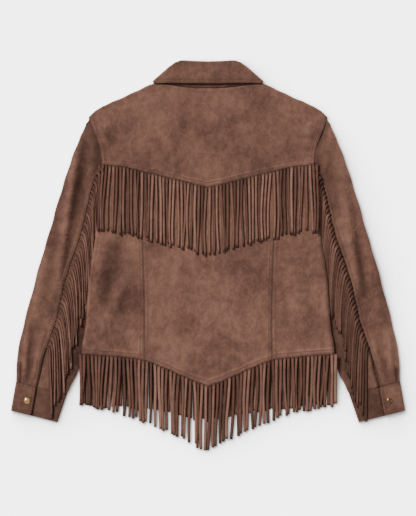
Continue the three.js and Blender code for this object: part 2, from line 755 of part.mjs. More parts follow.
// The collar's fall: across the back, round a slanting fold on each side, and its two leaves.
function collarFall() {
  const { middle, leaf, outward } = COLLAR_FALL;
  const [centre, bend] = [(middle + leaf) / 2, (middle - leaf) / 2];
  const half = [];
  for (const row of COLLAR_BACK) half.push({ ...row, z: middle, out: 0, turn: 90 });
  for (const turn of COLLAR_TURNS) {
    const angle = degToRad(turn);
    const z = centre + bend * Math.sin(angle);
    half.push({ ...COLLAR_FOLD, z, out: bend * Math.cos(angle), turn });
  }
  for (const row of COLLAR_LEAF) half.push({ ...row, z: leaf, out: 0, turn: -90 });
  const outer = [];
  const inner = [];
  const addRow = (row, sign) => {
    const angle = degToRad(row.turn);
    const points = (offset) => Array.from({ length: COLLAR_ACROSS + 1 }, (_, j) => {
      const out = (row.out + offset * Math.cos(angle)) * outward;
      const x = lerp(row.rollX, row.edgeX, j / COLLAR_ACROSS) + out;
      const y = lerp(row.rollY, row.edgeY, j / COLLAR_ACROSS) + out;
      return [sign * x, y, row.z + offset * Math.sin(angle)];
    });
    outer.push(points(CLOTH / 2));
    inner.push(points(-CLOTH / 2));
  };
  for (const row of half.slice(1).toReversed()) addRow(row, -1);
  for (const row of half) addRow(row, 1);
  return wall(outer, inner);
}

// A fringe: a narrow strip along a seam, and the strands that hang from it.
// Each strand has the strip's point behind it, and its rings of a left and a right point.
function fringe(strands) {
  const points = [];
  const faces = [];
  const quad = (a, b, c, d) => faces.push(a, b, c, a, c, d);
  const pair = ([x, y, z]) => {
    points.push([x, y, z + FRINGE_CLOTH], [x, y, z]);
    return { top: points.length - 2, low: points.length - 1 };
  };
  let before = null;
  for (const strand of strands) {
    const back = pair(strand.back);
    const rings = strand.rings.map(([left, right]) => [pair(left), pair(right)]);
    const [left, right] = rings[0];
    faces.push(back.top, left.top, right.top, back.low, right.low, left.low);
    if (before) {
      faces.push(before.back.top, before.right.top, left.top, before.back.top, left.top, back.top);
      faces.push(before.back.low, left.low, before.right.low, before.back.low, back.low, left.low);
      quad(before.back.top, back.top, back.low, before.back.low);
      quad(left.top, before.right.top, before.right.low, left.low);
    } else {
      quad(left.top, back.top, back.low, left.low);
    }
    for (let k = 1; k < rings.length; k += 1) {
      const [[l0, r0], [l1, r1]] = [rings[k - 1], rings[k]];
      quad(r0.top, l0.top, l1.top, r1.top);
      quad(l0.low, r0.low, r1.low, l1.low);
      quad(l0.top, l0.low, l1.low, l1.top);
      quad(r0.low, r0.top, r1.top, r1.low);
    }
    const [tipLeft, tipRight] = rings.at(-1);
    quad(tipLeft.top, tipLeft.low, tipRight.low, tipRight.top);
    before = { back, right };
  }
  quad(before.back.top, before.right.top, before.right.low, before.back.low);
  return solid(points, faces);
}

// A fringe that hangs from an edge across the jacket, between two places on it.
function hangingFringe({ sizes, from, to, edgeY, tipY, level, bends }) {
  const strands = [];
  const pitch = (to - from) / (sizes.strands - 1);
  for (let i = 0; i < sizes.strands; i += 1) {
    const x = from + pitch * i;
    const root = edgeY(x) - STRIP_GAP;
    const tip = tipY(x) + (i > 0 && i < sizes.strands - 1 ? UNEVEN.tip * Math.sin(i * UNEVEN.tipTurn) : 0);
    const ring = (share, shift, width) => [-1, 1].map((sign) => {
      const ringX = x + shift + sign * width / 2;
      const y = share === 0 ? edgeY(ringX) - STRIP_GAP - sizes.strip : lerp(root - sizes.strip, tip, share);
      return [ringX, y, level(x, y)];
    });
    const bend = sizes.wander * Math.sin(i * UNEVEN.bendTurn);
    const shifts = [0, bend, sizes.wander * Math.sin(i * UNEVEN.endTurn + 1)];
    strands.push({
      back: [x, root, level(x, root)],
      rings: bends.map((share, k) => ring(share, shifts[k], sizes.width * (k === 0 ? 1 : UNEVEN.narrow))),
    });
  }
  return fringe(strands);
}

function yokeFringe() {
  return hangingFringe({
    sizes: YOKE_FRINGE,
    from: -YOKE_FRINGE.reach,
    to: YOKE_FRINGE.reach,
    edgeY: yokeY,
    tipY: (x) => read(YOKE_TIPS, 'x', 'y', x),
    level: (x, y) => backLevel(clamp(x, -205, 205), y) + CLOTH + SEAM_BAND.rise + GAP,
    bends: [0, 0.5, 1],
  });
}

// The back hem's strands come down from the hem to just over the front's.
function hemFringeBack() {
  const level = (x, y) => {
    const edge = hemY(x);
    const start = backLevel(x, edge) + HEM_BAND.rise;
    return lerp(start, TIP_ABOVE_FLOOR.back, smoothstep(edge - y, 0, 100));
  };
  return hangingFringe({
    sizes: HEM_FRINGE,
    from: -HEM_FRINGE.reach,
    to: HEM_FRINGE.reach,
    edgeY: hemY,
    tipY: (x) => read(HEM_TIPS, 'x', 'y', x),
    level,
    bends: [0, 0.5, 1],
  });
}

function hemFringeFront(sign) {
  const { inner, outer } = FRONT_FRINGE;
  const level = (x, y) => {
    const drop = smoothstep(-y, 200, 290);
    return TIP_ABOVE_FLOOR.front + frontLevel(x, FRONT_HEM.side) * (1 - drop);
  };
  const edgeY = (x) => {
    const share = (Math.abs(x) + PLACKET.overlap) / (bodyX(FRONT_HEM.side) + PLACKET.overlap);
    return lerp(FRONT_HEM.middle, FRONT_HEM.side, share ** 2);
  };
  return hangingFringe({
    sizes: FRONT_FRINGE,
    from: sign > 0 ? inner : -outer,
    to: sign > 0 ? outer : -inner,
    edgeY,
    tipY: (x) => read(FRONT_TIPS, 'x', 'y', Math.abs(x)),
    level,
    bends: [0, 0.5, 1],
  });
}

// A sleeve's fringe: its strands leave the back seam towards the body and turn down.
function sleeveFringe(sign) {
  const { strands: count, first, last, rootWidth, width, strip } = SLEEVE_FRINGE;
  const seam = (y) => [sleeveSeamX(y), y];
  const strands = [];
  for (let i = 0; i < count; i += 1) {
    const y = lerp(first, last, i / (count - 1));
    const [[x0, y0], [x1, y1]] = [seam(y + 1), seam(y - 1)];
    const length = Math.hypot(x1 - x0, y1 - y0);
    const along = [(x1 - x0) / length, (y1 - y0) / length];
    const inward = [along[1], -along[0]];
    const place = (root, away) => {
      const [x, rootY] = seam(root);
      return [x + inward[0] * away, rootY + inward[1] * away];
    };
    const level = (px, py) => {
      const onCuff = CUFF.underlapTop;
      const onSleeve = upperSleeveLevel(sign * px, py) + CLOTH;
      const clear = STRIP_GAP + SLEEVE_FRINGE.clear * armholeRise(px, py);
      return lerp(onSleeve, onCuff, smoothstep(-py, 245, 275)) + clear;
    };
    const point = ([px, py]) => [sign * px, py, level(px, py)];
    const start = [rootWidth / 2, -rootWidth / 2].map((offset) => place(y + offset, GAP + strip));
    const { length: reach, swing } = {
      length: read(SLEEVE_STRANDS, 'root', 'length', y),
      swing: read(SLEEVE_STRANDS, 'root', 'swing', y),
    };
    const [rx, ry] = place(y, GAP + strip);
    const rings = SLEEVE_STRAND.map((row) => {
      const centre = [rx - swing * row.swing, ry - reach * row.down];
      const spread = row.down < 0.1 ? width / 3 : 0;
      return [
        [centre[0] + width / 2, centre[1] - spread],
        [centre[0] - width / 2, centre[1] + spread],
      ].map(point).toReversed();
    });
    strands.push({ back: point(place(y, GAP)), rings: [start.map(point), ...rings] });
  }
  return fringe(strands);
}

const wasm = await Module();
wasm.setup();

function toManifold(geometry) {
  const bare = geometry.clone();
  bare.deleteAttribute('normal');
  bare.deleteAttribute('uv');
  const merged = mergeVertices(bare, 1e-4);
  return new wasm.Manifold(new wasm.Mesh({
    numProp: 3,
    vertProperties: new Float32Array(merged.attributes.position.array),
    triVerts: new Uint32Array(merged.index.array),
  }));
}

// Cuts the holes that the snaps sit in through the left front.
function frontWithHoles(geometry, places) {
  let body = toManifold(geometry);
  for (const [x, y] of places) {
    const hole = new THREE.CylinderGeometry(SNAP.radius + GAP, SNAP.radius + GAP, 4 * CLOTH, 20);
    body = body.subtract(toManifold(hole.rotateX(Math.PI / 2).translate(x, y, 0)));
  }
  const { vertProperties, triVerts } = body.getMesh();
  const cut = new THREE.BufferGeometry();
  cut.setAttribute('position', new THREE.Float32BufferAttribute(vertProperties, 3));
  cut.setIndex([...triVerts]);
  cut.computeVertexNormals();
  return cut;
}

const jacket = new THREE.Group();
jacket.name = 'jacket';

function add(name, geometry, material) {
  const mesh = new THREE.Mesh(geometry, material);
  mesh.name = name;
  jacket.add(mesh);
  return mesh;
}

const snapPlaces = Array.from({ length: FRONT_SNAPS.count }, (_, i) => (
  [0, FRONT_SNAPS.first - FRONT_SNAPS.pitch * i]
));

add('back_yoke', backYoke(), SUEDE);
add('back_centre', backCentre(), SUEDE);
add('front_left', frontWithHoles(front(-1), snapPlaces), SUEDE);
add('front_right', front(1), SUEDE);
add('collar_stand', collarStand(), SUEDE);
add('collar_fall', collarFall(), SUEDE);
add('yoke_fringe', yokeFringe(), DARK_SUEDE);
add('hem_fringe_back', hemFringeBack(), DARK_SUEDE);
for (const [name, sign] of [['left', -1], ['right', 1]]) {
  add(`back_side_${name}`, backSide(sign), SUEDE);
  add(`sleeve_upper_${name}`, sleeveUpper(sign), SUEDE);
  add(`sleeve_under_${name}`, sleeveUnder(sign), SUEDE);
  add(`cuff_${name}`, cuff(sign), SUEDE);
  add(`hem_fringe_front_${name}`, hemFringeFront(sign), DARK_SUEDE);
  add(`sleeve_fringe_${name}`, sleeveFringe(sign), DARK_SUEDE);
  const cap = add(`cuff_snap_${name}`, snapCap(SNAP.crown), BRASS);
  cap.position.set(sign * CUFF_SNAP.x, CUFF_SNAP.y, CUFF.flapTop + GAP);
}
snapPlaces.forEach(([x, y], i) => {
  const cap = add(`front_snap_${i + 1}`, snapCap(0), BRASS);
  cap.position.set(x, y, 0);
});

export default jacket;
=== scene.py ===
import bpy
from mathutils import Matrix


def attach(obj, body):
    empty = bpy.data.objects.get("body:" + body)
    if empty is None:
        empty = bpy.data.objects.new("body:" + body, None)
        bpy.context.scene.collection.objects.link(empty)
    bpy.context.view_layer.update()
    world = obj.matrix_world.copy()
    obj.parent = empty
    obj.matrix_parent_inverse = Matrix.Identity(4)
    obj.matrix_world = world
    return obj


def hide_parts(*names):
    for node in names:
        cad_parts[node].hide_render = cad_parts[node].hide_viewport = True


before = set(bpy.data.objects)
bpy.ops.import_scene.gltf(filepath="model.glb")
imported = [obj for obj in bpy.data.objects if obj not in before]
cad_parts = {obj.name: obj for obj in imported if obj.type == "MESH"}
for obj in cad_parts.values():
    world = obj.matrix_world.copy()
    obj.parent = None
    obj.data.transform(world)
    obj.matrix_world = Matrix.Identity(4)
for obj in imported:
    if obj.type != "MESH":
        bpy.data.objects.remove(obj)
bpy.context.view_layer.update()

import math
import random

import bmesh
import bpy
from mathutils import Vector, noise

random.seed(7)

# All lengths below are millimetres; MM turns them into the scene's metres.
MM = 0.001

# Thicknesses and clearances
CLOTH = 1.5
CUFF_CLOTH = 1.8
FRINGE_CLOTH = 0.9
GAP = 0.3
STRIP_GAP = 0.6
ARMHOLE_GAP = 0.6

# Heights of the cloth's undersides above the floor
FRONT_OVER_SLEEVE = 5.4
FRONT_OVER_LEAF = 1.8
FRONT_OVERLAP = CLOTH + GAP
BACK_MIDDLE = 5.2
BACK_SIDE_RISE = 3.4
BACK_OVER_LEAF = 0.5
SHOULDER_EDGE = 1.9
NECK_EDGE_RISE = 2
SLEEVE_PRESSED = 1.9
SLEEVE_LOOSE = 1.1
ARMHOLE_LOW, ARMHOLE_HIGH, ARMHOLE_REACH = 2.6, 4.4, 110
ARMHOLE_X, ARMHOLE_Y = 211, 175
POINT_SAG = 2.4
EDGE_CLEAR, EDGE_RIM = 0.2, 2
CUFF_LIFT = 0.6
FRONT_TIP, BACK_TIP = 0.3, 1.9
EDGE_TURN, EDGE_OUT, EDGE_IN = 3.1, -2.2, 6

# Where the levels change: each from and to, in x, in y or in the distance from an edge
SIDE_LIFT_X, SIDE_LIFT_Y = (150, 196), (150, 230)
LEAF_X, LEAF_Y = (119, 150), (200, 234)
POINT_Y = (206, 250)
SHOULDER_FADE = 50
WAVES_FROM_SIDE, WAVES_FROM_HEM = (8, 30), (0, 25)
EDGE_TURN_Y = (120, 160)
ARMHOLE_FADE = (125, 170)
FOLDS_FROM_BODY, LOOSE_FROM_BODY = (8, 24), (2, 24)
CUFF_LIFT_Y, CUFF_LIFT_X = (225, 255), (338, 348)

# The jacket's lines, each from one end to the other
TOP_EDGE = [(0, 334.5), (27, 334.8), (55, 337.4), (84, 342.4), (112, 343), (130, 335.5),
            (164, 319.5), (200, 303.5), (216, 295.5), (228, 287.5), (238.8, 276.6)]
BODY_EDGE = [(276.6, 238.8), (262, 233.6), (246, 227.6), (220, 217), (189, 211.8), (150, 212.5),
             (105, 215), (59, 222), (4, 230.5), (-45, 238), (-90, 241.5), (-147, 245.5),
             (-172, 250.5), (-195.5, 252.5)]
YOKE_EDGE = [(0, 136.5), (45, 147.5), (93, 159.5), (136, 169.5), (162, 176.5), (211.9, 183)]
HEM_EDGE = [(0, -260.5), (35, -247), (70, -231.5), (100, -218.5), (130, -207.5), (180, -201),
            (225, -197.5), (252.5, -195.5)]
LONG_SEAM = [(169.7, 137), (90, 134), (0, 130), (-100, 127), (-208.3, 127.5)]
NECKLINE = [(-14, 290), (14, 290), (38, 301), (60, 322), (80, 340.3), (110, 340.8)]
SLEEVE_LINES = {
    "outer": [(274, 240), (251, 249), (211, 266), (171, 280), (111, 299), (51, 316), (-9, 334),
              (-89, 356), (-169, 376), (-209, 382), (-251.5, 383.5)],
    "seam": [(186, 212.2), (172, 218), (158, 226), (139, 231), (88, 243.4), (62, 249),
             (26, 259.6), (-1, 269.5), (-47, 284.6), (-90, 294.6), (-136, 305.5), (-180, 321),
             (-262, 342)],
    "inner": [(142, 213), (110, 207), (77, 202.5), (30, 201), (-30, 202), (-89, 206),
              (-140, 220), (-180, 237), (-216, 253), (-250, 269), (-275, 281.5)],
}
# Sections across a sleeve: y at the outer fold, the seam and the inner fold, and the armhole's share
SLEEVE_SECTIONS = [
    (274, 186, 142, 1), (238, 168, 124, 0.45), (202, 148, 104, 0.1), (162, 122, 78, 0),
    (120, 92, 48, 0), (74, 56, 12, 0), (26, 14, -24, 0), (-22, -30, -62, 0),
    (-70, -76, -104, 0), (-116, -122, -146, 0), (-160, -166, -190, 0), (-200, -208, -228, 0),
    (-230, -240, -256, 0), (-251.5, -261, -275, 0),
]
SECTION_NAMES = ("outer", "seam", "inner")
FRONT_SEAM = 0.55
FOLD_RADIUS = 1.7
FRONT_INSET_SIDE, FRONT_INSET_ARMHOLE, FRONT_INSET_Y = 2.8, 1.6, (140, 190)
FRONT_SHOULDER_IN, FRONT_SHOULDER_DOWN, FRONT_NECK_CLEAR = 1.6, 2.2, 5
FRONT_CORNER = 0.03
FRONT_HEM_MIDDLE, FRONT_HEM_SIDE = -206, -197.5
PLACKET, PLACKET_FLAT, PLACKET_FADE = 14, 7, 30

# Soft folds: three points of its path, then its height and width
SLEEVE_FOLDS = [
    (-254, 236, -278, 95, -300, -75, 8, 10), (-240, 215, -247, 165, -257, 90, -1.6, 9),
    (-314, 30, -330, -50, -345, -130, 4.4, 13), (-356, -130, -362, -190, -366, -246, 4.2, 7),
    (-326, -150, -338, -205, -352, -254, 3.4, 7), (268, 170, 284, 60, 303, -75, 7.4, 10),
    (242, 205, 250, 150, 258, 90, -1.6, 9), (322, 10, 336, -60, 350, -140, 4.6, 13),
    (360, -150, 366, -200, 368, -246, 4.2, 7), (328, -160, 340, -210, 353, -254, 3.2, 7),
    (-292, 150, -312, 80, -330, 10, 2.2, 14), (298, 120, 316, 60, 330, -4, 2, 14),
]
BACK_FOLDS = [
    (-206, 276, -204, 250, -202, 222, 4, 8), (207, 270, 204, 246, 202, 220, 3.4, 8),
    (-170, 20, -188, -35, -206, -95, -1.2, 14), (-158, -40, -180, -95, -206, -140, 5, 14),
    (-208, 20, -216, -30, -222, -80, 2.4, 9), (160, -20, 182, -70, 205, -130, 3.4, 16),
    (-60, -10, -52, -80, -56, -150, 1.8, 20), (66, 0, 58, -70, 64, -140, 1.7, 20),
    (-90, 270, -60, 235, -70, 190, 1.6, 22), (96, 262, 70, 236, 84, 196, 1.5, 22),
]
FOLD_STEPS = 36
FOLD_FADE = (0.12, 0.88)
DEEPEST_GAP = 2.4

# Small soft waves that every panel has
WAVE_HEIGHT, WAVE_LENGTH, WAVE_STRETCH, WAVE_RAISE = 0.55, 42, 0.7, 0.5
DIMPLE_HEIGHT, DIMPLE_LENGTH, DIMPLE_SEED = 0.16, 13, 9
BACK_SEED, SLEEVE_SEED, COLLAR_SEED = 3, 5, 11

# A seam's raised band: its width and rise, and how far in its two stitch lines are
YOKE_BAND = (9, 1.6, (1.8, 7.4))
SEAM_BAND = (8, 0.4, (1.6, 6.4))
HEM_BAND = (10, 0.7, (2, 8.2))
SLEEVE_BAND = (6, 1.1, (1.5, 4.8))
SIDE_BAND = (2.2, 0, ())
STAND_BAND = (6, 0, (3.4,))
SEAM_SINK, SEAM_SINK_WIDTH = 0.35, 0.9
GROOVE_DEPTH, GROOVE_WIDTH = 0.32, 0.9
BAND_STEPS = (0.01, 0.9, 1.8, 2.7, 3.8, 5, 6.2, 7.3, 8.3, 9.2, 10.2, 11.4)
BAND_EDGE = 1.1

# The panels' rough lengths across and down, and the size of their cells
YOKE_SIZE, CENTRE_SIZE, SIDE_SIZE = (450, 170), (262, 385), (100, 380)
FRONT_SIZE, STAND_SIZE = (262, 480), (160, 50)
CELL = 5
SEAM_POINT_PITCH = 4


def lerp(a, b, t):
    return a + (b - a) * t


def smooth(value, low, high):
    t = min(max((value - low) / (high - low), 0), 1)
    return t * t * (3 - 2 * t)


def read(rows, place):
    """Reads a table between its rows, on a smooth curve through them."""
    direction = 1 if rows[-1][0] > rows[0][0] else -1
    i = 0
    while i < len(rows) - 2 and (place - rows[i + 1][0]) * direction > 0:
        i += 1

    def slope(j):
        before = rows[max(j - 1, 0)]
        after = rows[min(j + 1, len(rows) - 1)]
        return (after[1] - before[1]) / (after[0] - before[0])

    span = rows[i + 1][0] - rows[i][0]
    t = min(max((place - rows[i][0]) / span, 0), 1)
    start = rows[i][1] + slope(i) * span * t
    end = rows[i + 1][1] - slope(i + 1) * span * (1 - t)
    near = lerp(rows[i][1], start, 1 - t)
    far = lerp(rows[i + 1][1], end, t)
    return lerp(near, far, t * t * (3 - 2 * t))


def top_y(x):
    return read(TOP_EDGE, abs(x))


def body_x(y):
    return read(BODY_EDGE, y)


def yoke_y(x):
    return read(YOKE_EDGE, abs(x))


def hem_y(x):
    return read(HEM_EDGE, abs(x))


def seam_x(y):
    return read(LONG_SEAM, y)


def fold_path(fold, steps):
    """The points of a fold's path with their strength, its height and its width."""
    x1, y1, x2, y2, x3, y3, height, width = fold
    points = []
    for i in range(steps + 1):
        t = i / steps
        x = lerp(lerp(x1, x2, t), lerp(x2, x3, t), t)
        y = lerp(lerp(y1, y2, t), lerp(y2, y3, t), t)
        points.append((x, y, math.sin(math.pi * lerp(*FOLD_FADE, t))))
    reach = 3 * width
    xs = [p[0] for p in points]
    ys = [p[1] for p in points]
    box = (min(xs) - reach, max(xs) + reach, min(ys) - reach, max(ys) + reach)
    return points, height, width, box


SLEEVE_PATHS = [fold_path(fold, FOLD_STEPS) for fold in SLEEVE_FOLDS]
BACK_PATHS = [fold_path(fold, FOLD_STEPS) for fold in BACK_FOLDS]


def fold_height(paths, x, y):
    height = 0
    for points, rise, width, (x0, x1, y0, y1) in paths:
        if not (x0 < x < x1 and y0 < y < y1):
            continue
        best = 0
        for px, py, strength in points:
            away = ((px - x) ** 2 + (py - y) ** 2) / width ** 2
            best = max(best, math.exp(-away) * strength)
        height += best * rise
    return height


def waves(x, y, seed):
    """Low soft waves in the cloth, never below its plain level."""
    broad = noise.noise(Vector((x / WAVE_LENGTH, y / WAVE_LENGTH * WAVE_STRETCH, seed)))
    fine = noise.noise(Vector((x / DIMPLE_LENGTH, y / DIMPLE_LENGTH, seed + DIMPLE_SEED)))
    return WAVE_HEIGHT * (broad + WAVE_RAISE) + DIMPLE_HEIGHT * fine


def side_lift(x, y):
    return smooth(abs(x), *SIDE_LIFT_X) * (1 - smooth(y, *SIDE_LIFT_Y))


def leaf_lift(x, y):
    return (1 - smooth(abs(x), *LEAF_X)) * smooth(y, *LEAF_Y)


def front_level(x, y):
    return FRONT_OVER_SLEEVE * side_lift(x, y) + FRONT_OVER_LEAF * leaf_lift(x, y)


def right_front_level(x, y):
    overlap = 1 - smooth(x, PLACKET + PLACKET_FLAT, PLACKET + PLACKET_FADE)
    return front_level(x, y) + FRONT_OVERLAP * overlap


def back_level(x, y):
    """The back's underside, without the turn at its side edges."""
    leaf = leaf_lift(x, y)
    middle = BACK_MIDDLE + BACK_SIDE_RISE * side_lift(x, y) + BACK_OVER_LEAF * leaf
    shoulder = SHOULDER_EDGE + NECK_EDGE_RISE * leaf
    sag = POINT_SAG * smooth(-y, *POINT_Y)
    inside = smooth(top_y(x) - y, 0, SHOULDER_FADE)
    soft = waves(x, y, BACK_SEED) * smooth(body_x(y) - abs(x), *WAVES_FROM_SIDE)
    soft *= smooth(y - hem_y(x), *WAVES_FROM_HEM)
    return lerp(shoulder, middle + (fold_height(BACK_PATHS, x, y) + soft) * inside, inside) - sag


def turned_back_level(x, y):
    """The back's edge turns down over the front's at the side seam."""
    from_edge = body_x(y) - abs(x)
    side = 1 - smooth(y, *EDGE_TURN_Y)
    flat = back_level(x, y)
    turned = flat - EDGE_TURN * (1 - smooth(from_edge, EDGE_OUT, EDGE_IN))
    on_front = front_level(x, y) + (EDGE_CLEAR if from_edge < EDGE_RIM else CLOTH + GAP)
    return lerp(flat, max(turned, on_front), side) if side > 0 else flat


def armhole_rise(x, y):
    away = math.hypot(abs(x) - ARMHOLE_X, y - ARMHOLE_Y)
    return (1 - smooth(away, 0, ARMHOLE_REACH)) * smooth(y, *ARMHOLE_FADE)


def sleeve_fold(x, y):
    outside = smooth(abs(x) - body_x(y), *FOLDS_FROM_BODY)
    if outside == 0:
        return 0
    return (fold_height(SLEEVE_PATHS, x, y) + waves(x, y, SLEEVE_SEED)) * outside


def lower_sleeve_level(x, y):
    lifted = max(0, sleeve_fold(x, y) + SLEEVE_LOOSE - DEEPEST_GAP)
    return ARMHOLE_LOW * armhole_rise(x, y) + lifted


def upper_sleeve_level(x, y):
    loose = smooth(abs(x) - body_x(y), *LOOSE_FROM_BODY)
    cuff = CUFF_LIFT * smooth(-y, *CUFF_LIFT_Y) * smooth(abs(x), *CUFF_LIFT_X)
    rise = ARMHOLE_HIGH * armhole_rise(x, y)
    return SLEEVE_PRESSED + SLEEVE_LOOSE * loose + rise + cuff + sleeve_fold(x, y)


def grid_mesh(rows, columns, place):
    """A sheet of points, each put where place says, with how much shade is painted on it."""
    bm = bmesh.new()
    shade_layer = bm.verts.layers.float.new("painted_shade")
    bmesh.ops.create_grid(bm, x_segments=columns - 1, y_segments=rows - 1, size=0.5)
    for vertex in bm.verts:
        i = round((vertex.co.y + 0.5) * (rows - 1))
        j = round((vertex.co.x + 0.5) * (columns - 1))
        x, y, z, dark = place(i, j)
        vertex.co = Vector((x, y, z)) * MM
        vertex[shade_layer] = min(dark, 1)
    face_out(bm)
    return bm


# How far below its highest point a piece's faces count as its top
TOP_DEPTH = 0.5


def face_out(bm):
    """Turns a mesh's faces out, so that those on top face up."""
    bmesh.ops.recalc_face_normals(bm, faces=bm.faces)
    high = max(face.calc_center_median().z for face in bm.faces) - TOP_DEPTH * MM
    up = sum(face.normal.z for face in bm.faces if face.calc_center_median().z > high)
    if up < 0:
        bmesh.ops.reverse_faces(bm, faces=bm.faces)


def finish_mesh(bm, name, material, smooth_faces=True):
    mesh = bpy.data.meshes.new(name)
    bm.to_mesh(mesh)
    bm.free()
    for polygon in mesh.polygons:
        polygon.use_smooth = smooth_faces
    piece = bpy.data.objects.new(name, mesh)
    bpy.context.scene.collection.objects.link(piece)
    mesh.materials.append(material)
    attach(piece, "root")
    return piece


def give_thickness(piece, thickness):
    solidify = piece.modifiers.new("thickness", "SOLIDIFY")
    solidify.thickness = thickness * MM
    solidify.offset = -1
    solidify.use_rim = True


def cloth_piece(bm, name, material, thickness):
    """A finished sheet of cloth that stands for the CAD node of its name."""
    piece = finish_mesh(bm, name + "_cloth", material)
    give_thickness(piece, thickness)
    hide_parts(name)
    return piece


def patch(top, bottom, left, right):
    """The plan of a panel from its four edges."""
    def plan(u, v):
        point = []
        for axis in (0, 1):
            down = lerp(top(u)[axis], bottom(u)[axis], v)
            across = lerp(left(v)[axis], right(v)[axis], u)
            head = lerp(top(0)[axis], top(1)[axis], u)
            foot = lerp(bottom(0)[axis], bottom(1)[axis], u)
            point.append(down + across - lerp(head, foot, v))
        return point
    return plan


def stops(length, first, last):
    """Places from 0 to 1: even cells, and close ones in the seam bands at the ends."""
    start = BAND_STEPS[-1] if first else 0
    end = length - BAND_STEPS[-1] if last else length
    count = round((end - start) / CELL)
    places = {0, length}
    places.update(lerp(start, end, i / count) for i in range(count + 1))
    if first:
        places.update(BAND_STEPS)
    if last:
        places.update(length - step for step in BAND_STEPS)
    return [place / length for place in sorted(places)]


def seam_profile(distance, band):
    """How far a seam's band raises the cloth at a distance from its edge."""
    if band is None:
        return 0
    width, rise, lines = band
    height = rise * (1 - smooth(distance, width, width + BAND_EDGE))
    if lines:
        height -= SEAM_SINK * (1 - smooth(distance, 0, SEAM_SINK_WIDTH))
    for line in lines:
        height -= GROOVE_DEPTH * math.exp(-((distance - line) / GROOVE_WIDTH) ** 2)
    return height


# Painted shade: how dark a stitch groove and a seam's edge are painted, and how far that reaches
GROOVE_SHADE, GROOVE_SHADE_WIDTH = 0.36, 0.9
SEAM_EDGE_SHADE, SEAM_EDGE_SHADE_REACH = 0.5, 2.2


def seam_shade(distance, band):
    """How much shade is painted in a seam's stitch grooves and at its edge, at a distance from the
    edge.
    """
    if band is None:
        return 0
    dark = SEAM_EDGE_SHADE * (1 - smooth(distance, 0, SEAM_EDGE_SHADE_REACH))
    for line in band[2]:
        dark = max(dark, GROOVE_SHADE * math.exp(-((distance - line) / GROOVE_SHADE_WIDTH) ** 2))
    return dark


SHADE_STEPS = 40
# Where shade is painted on a part, in creases and under edges: three points, then depth and width
BODY_SHADES = [
    (-186, 14, -196, -35, -207, -95, 0.5, 17), (182, -60, 196, -110, 214, -160, 0.22, 14),
    (-120, 344, 0, 350, 120, 344, 0.55, 6), (-94, 339, 0, 331, 94, 339, 0.3, 4),
    (-150, 300, -170, 250, -186, 205, 0.16, 26),
    (120, 300, 150, 262, 180, 214, 0.14, 26), (-96, 60, -104, -60, -100, -180, 0.1, 26),
]
SLEEVE_SHADES = [
    (-222, 262, -218, 190, -222, 110, 0.6, 10), (222, 262, 218, 190, 221, 110, 0.55, 10),
    (-240, 215, -247, 165, -257, 90, 0.3, 12), (242, 205, 250, 150, 258, 90, 0.3, 12),
    (-222, 90, -232, 0, -244, -120, 0.7, 12), (222, 90, 232, 0, 244, -120, 0.7, 12),
    (-244, -120, -254, -180, -262, -214, 0.7, 11), (244, -120, 254, -180, 262, -214, 0.7, 11),
    (296, 24, 306, -30, 312, -76, 0.5, 9), (-290, 10, -300, -50, -310, -110, 0.25, 12),
    (-322, -184, -334, -220, -342, -262, 0.95, 2.6), (321, -184, 334, -220, 343, -262, 0.95, 2.6),
    (-374, -214, -375, -236, -376, -254, 0.8, 3), (375, -226, 376, -240, 377, -254, 0.8, 3),
    (-350, -206, -356, -230, -360, -254, 0.35, 5), (352, -210, 358, -232, 362, -254, 0.35, 5),
    (-262, -178, -284, -232, -300, -272, 0.6, 17), (262, -178, 284, -232, 300, -272, 0.6, 17),
]
BODY_DARK = [fold_path(line, SHADE_STEPS) for line in BODY_SHADES]
SLEEVE_DARK = [fold_path(line, SHADE_STEPS) for line in SLEEVE_SHADES]


def shade(paths, x, y):
    """How much shade is painted at a place, from 0 to 1."""
    dark = 0
    for points, depth, width, (x0, x1, y0, y1) in paths:
        if not (x0 < x < x1 and y0 < y < y1):
            continue
        near = min((px - x) ** 2 + (py - y) ** 2 for px, py, strength in points)
        dark = max(dark, depth * math.exp(-near / width ** 2))
    return dark


class Panel:
    """A flat panel: its plan, its two lengths, its bands and its underside."""

    def __init__(self, plan, across, down, level, bands):
        self.plan = plan
        self.across = across
        self.down = down
        self.level = level
        self.left, self.right, self.top, self.bottom = bands

    def surface(self, u, v):
        x, y = self.plan(u, v)
        sides = ((u * self.across, self.left), ((1 - u) * self.across, self.right),
                 (v * self.down, self.top), ((1 - v) * self.down, self.bottom))
        rises = [seam_profile(distance, band) for distance, band in sides]
        raised = max(rises) + min(min(rises), 0)
        # Painted shade from the seams' grooves and edges and from the creases
        dark = max(seam_shade(distance, band) for distance, band in sides)
        return x, y, self.level(x, y) + CLOTH + raised, max(dark, shade(BODY_DARK, x, y))

    def mesh(self):
        us = stops(self.across, self.left, self.right)
        vs = stops(self.down, self.top, self.bottom)
        return grid_mesh(len(vs), len(us), lambda i, j: self.surface(us[j], vs[i]))

    def seam(self, side, distance):
        """The points of a stitch line beside one of the panel's edges."""
        count = round((self.down if side in ("left", "right") else self.across) / SEAM_POINT_PITCH)
        points = []
        for i in range(count + 1):
            t = i / count
            u, v = {
                "left": (distance / self.across, t),
                "right": (1 - distance / self.across, t),
                "top": (t, distance / self.down),
                "bottom": (t, 1 - distance / self.down),
            }[side]
            points.append(self.surface(u, v))
        return points


def yoke_panel():
    shoulder_x, shoulder_y = TOP_EDGE[-1]
    corner_x, corner_y = YOKE_EDGE[-1]

    def side(sign):
        def edge(v):
            y = lerp(shoulder_y, corner_y, v)
            return sign * body_x(y), y
        return edge

    def top(u):
        x = lerp(-shoulder_x, shoulder_x, u)
        return x, top_y(x)

    def bottom(u):
        x = lerp(-corner_x, corner_x, u)
        return x, yoke_y(x)

    bands = (SEAM_BAND, SEAM_BAND, None, YOKE_BAND)
    return Panel(patch(top, bottom, side(-1), side(1)), *YOKE_SIZE, back_level, bands)


def under_yoke(x):
    return yoke_y(x) - GAP


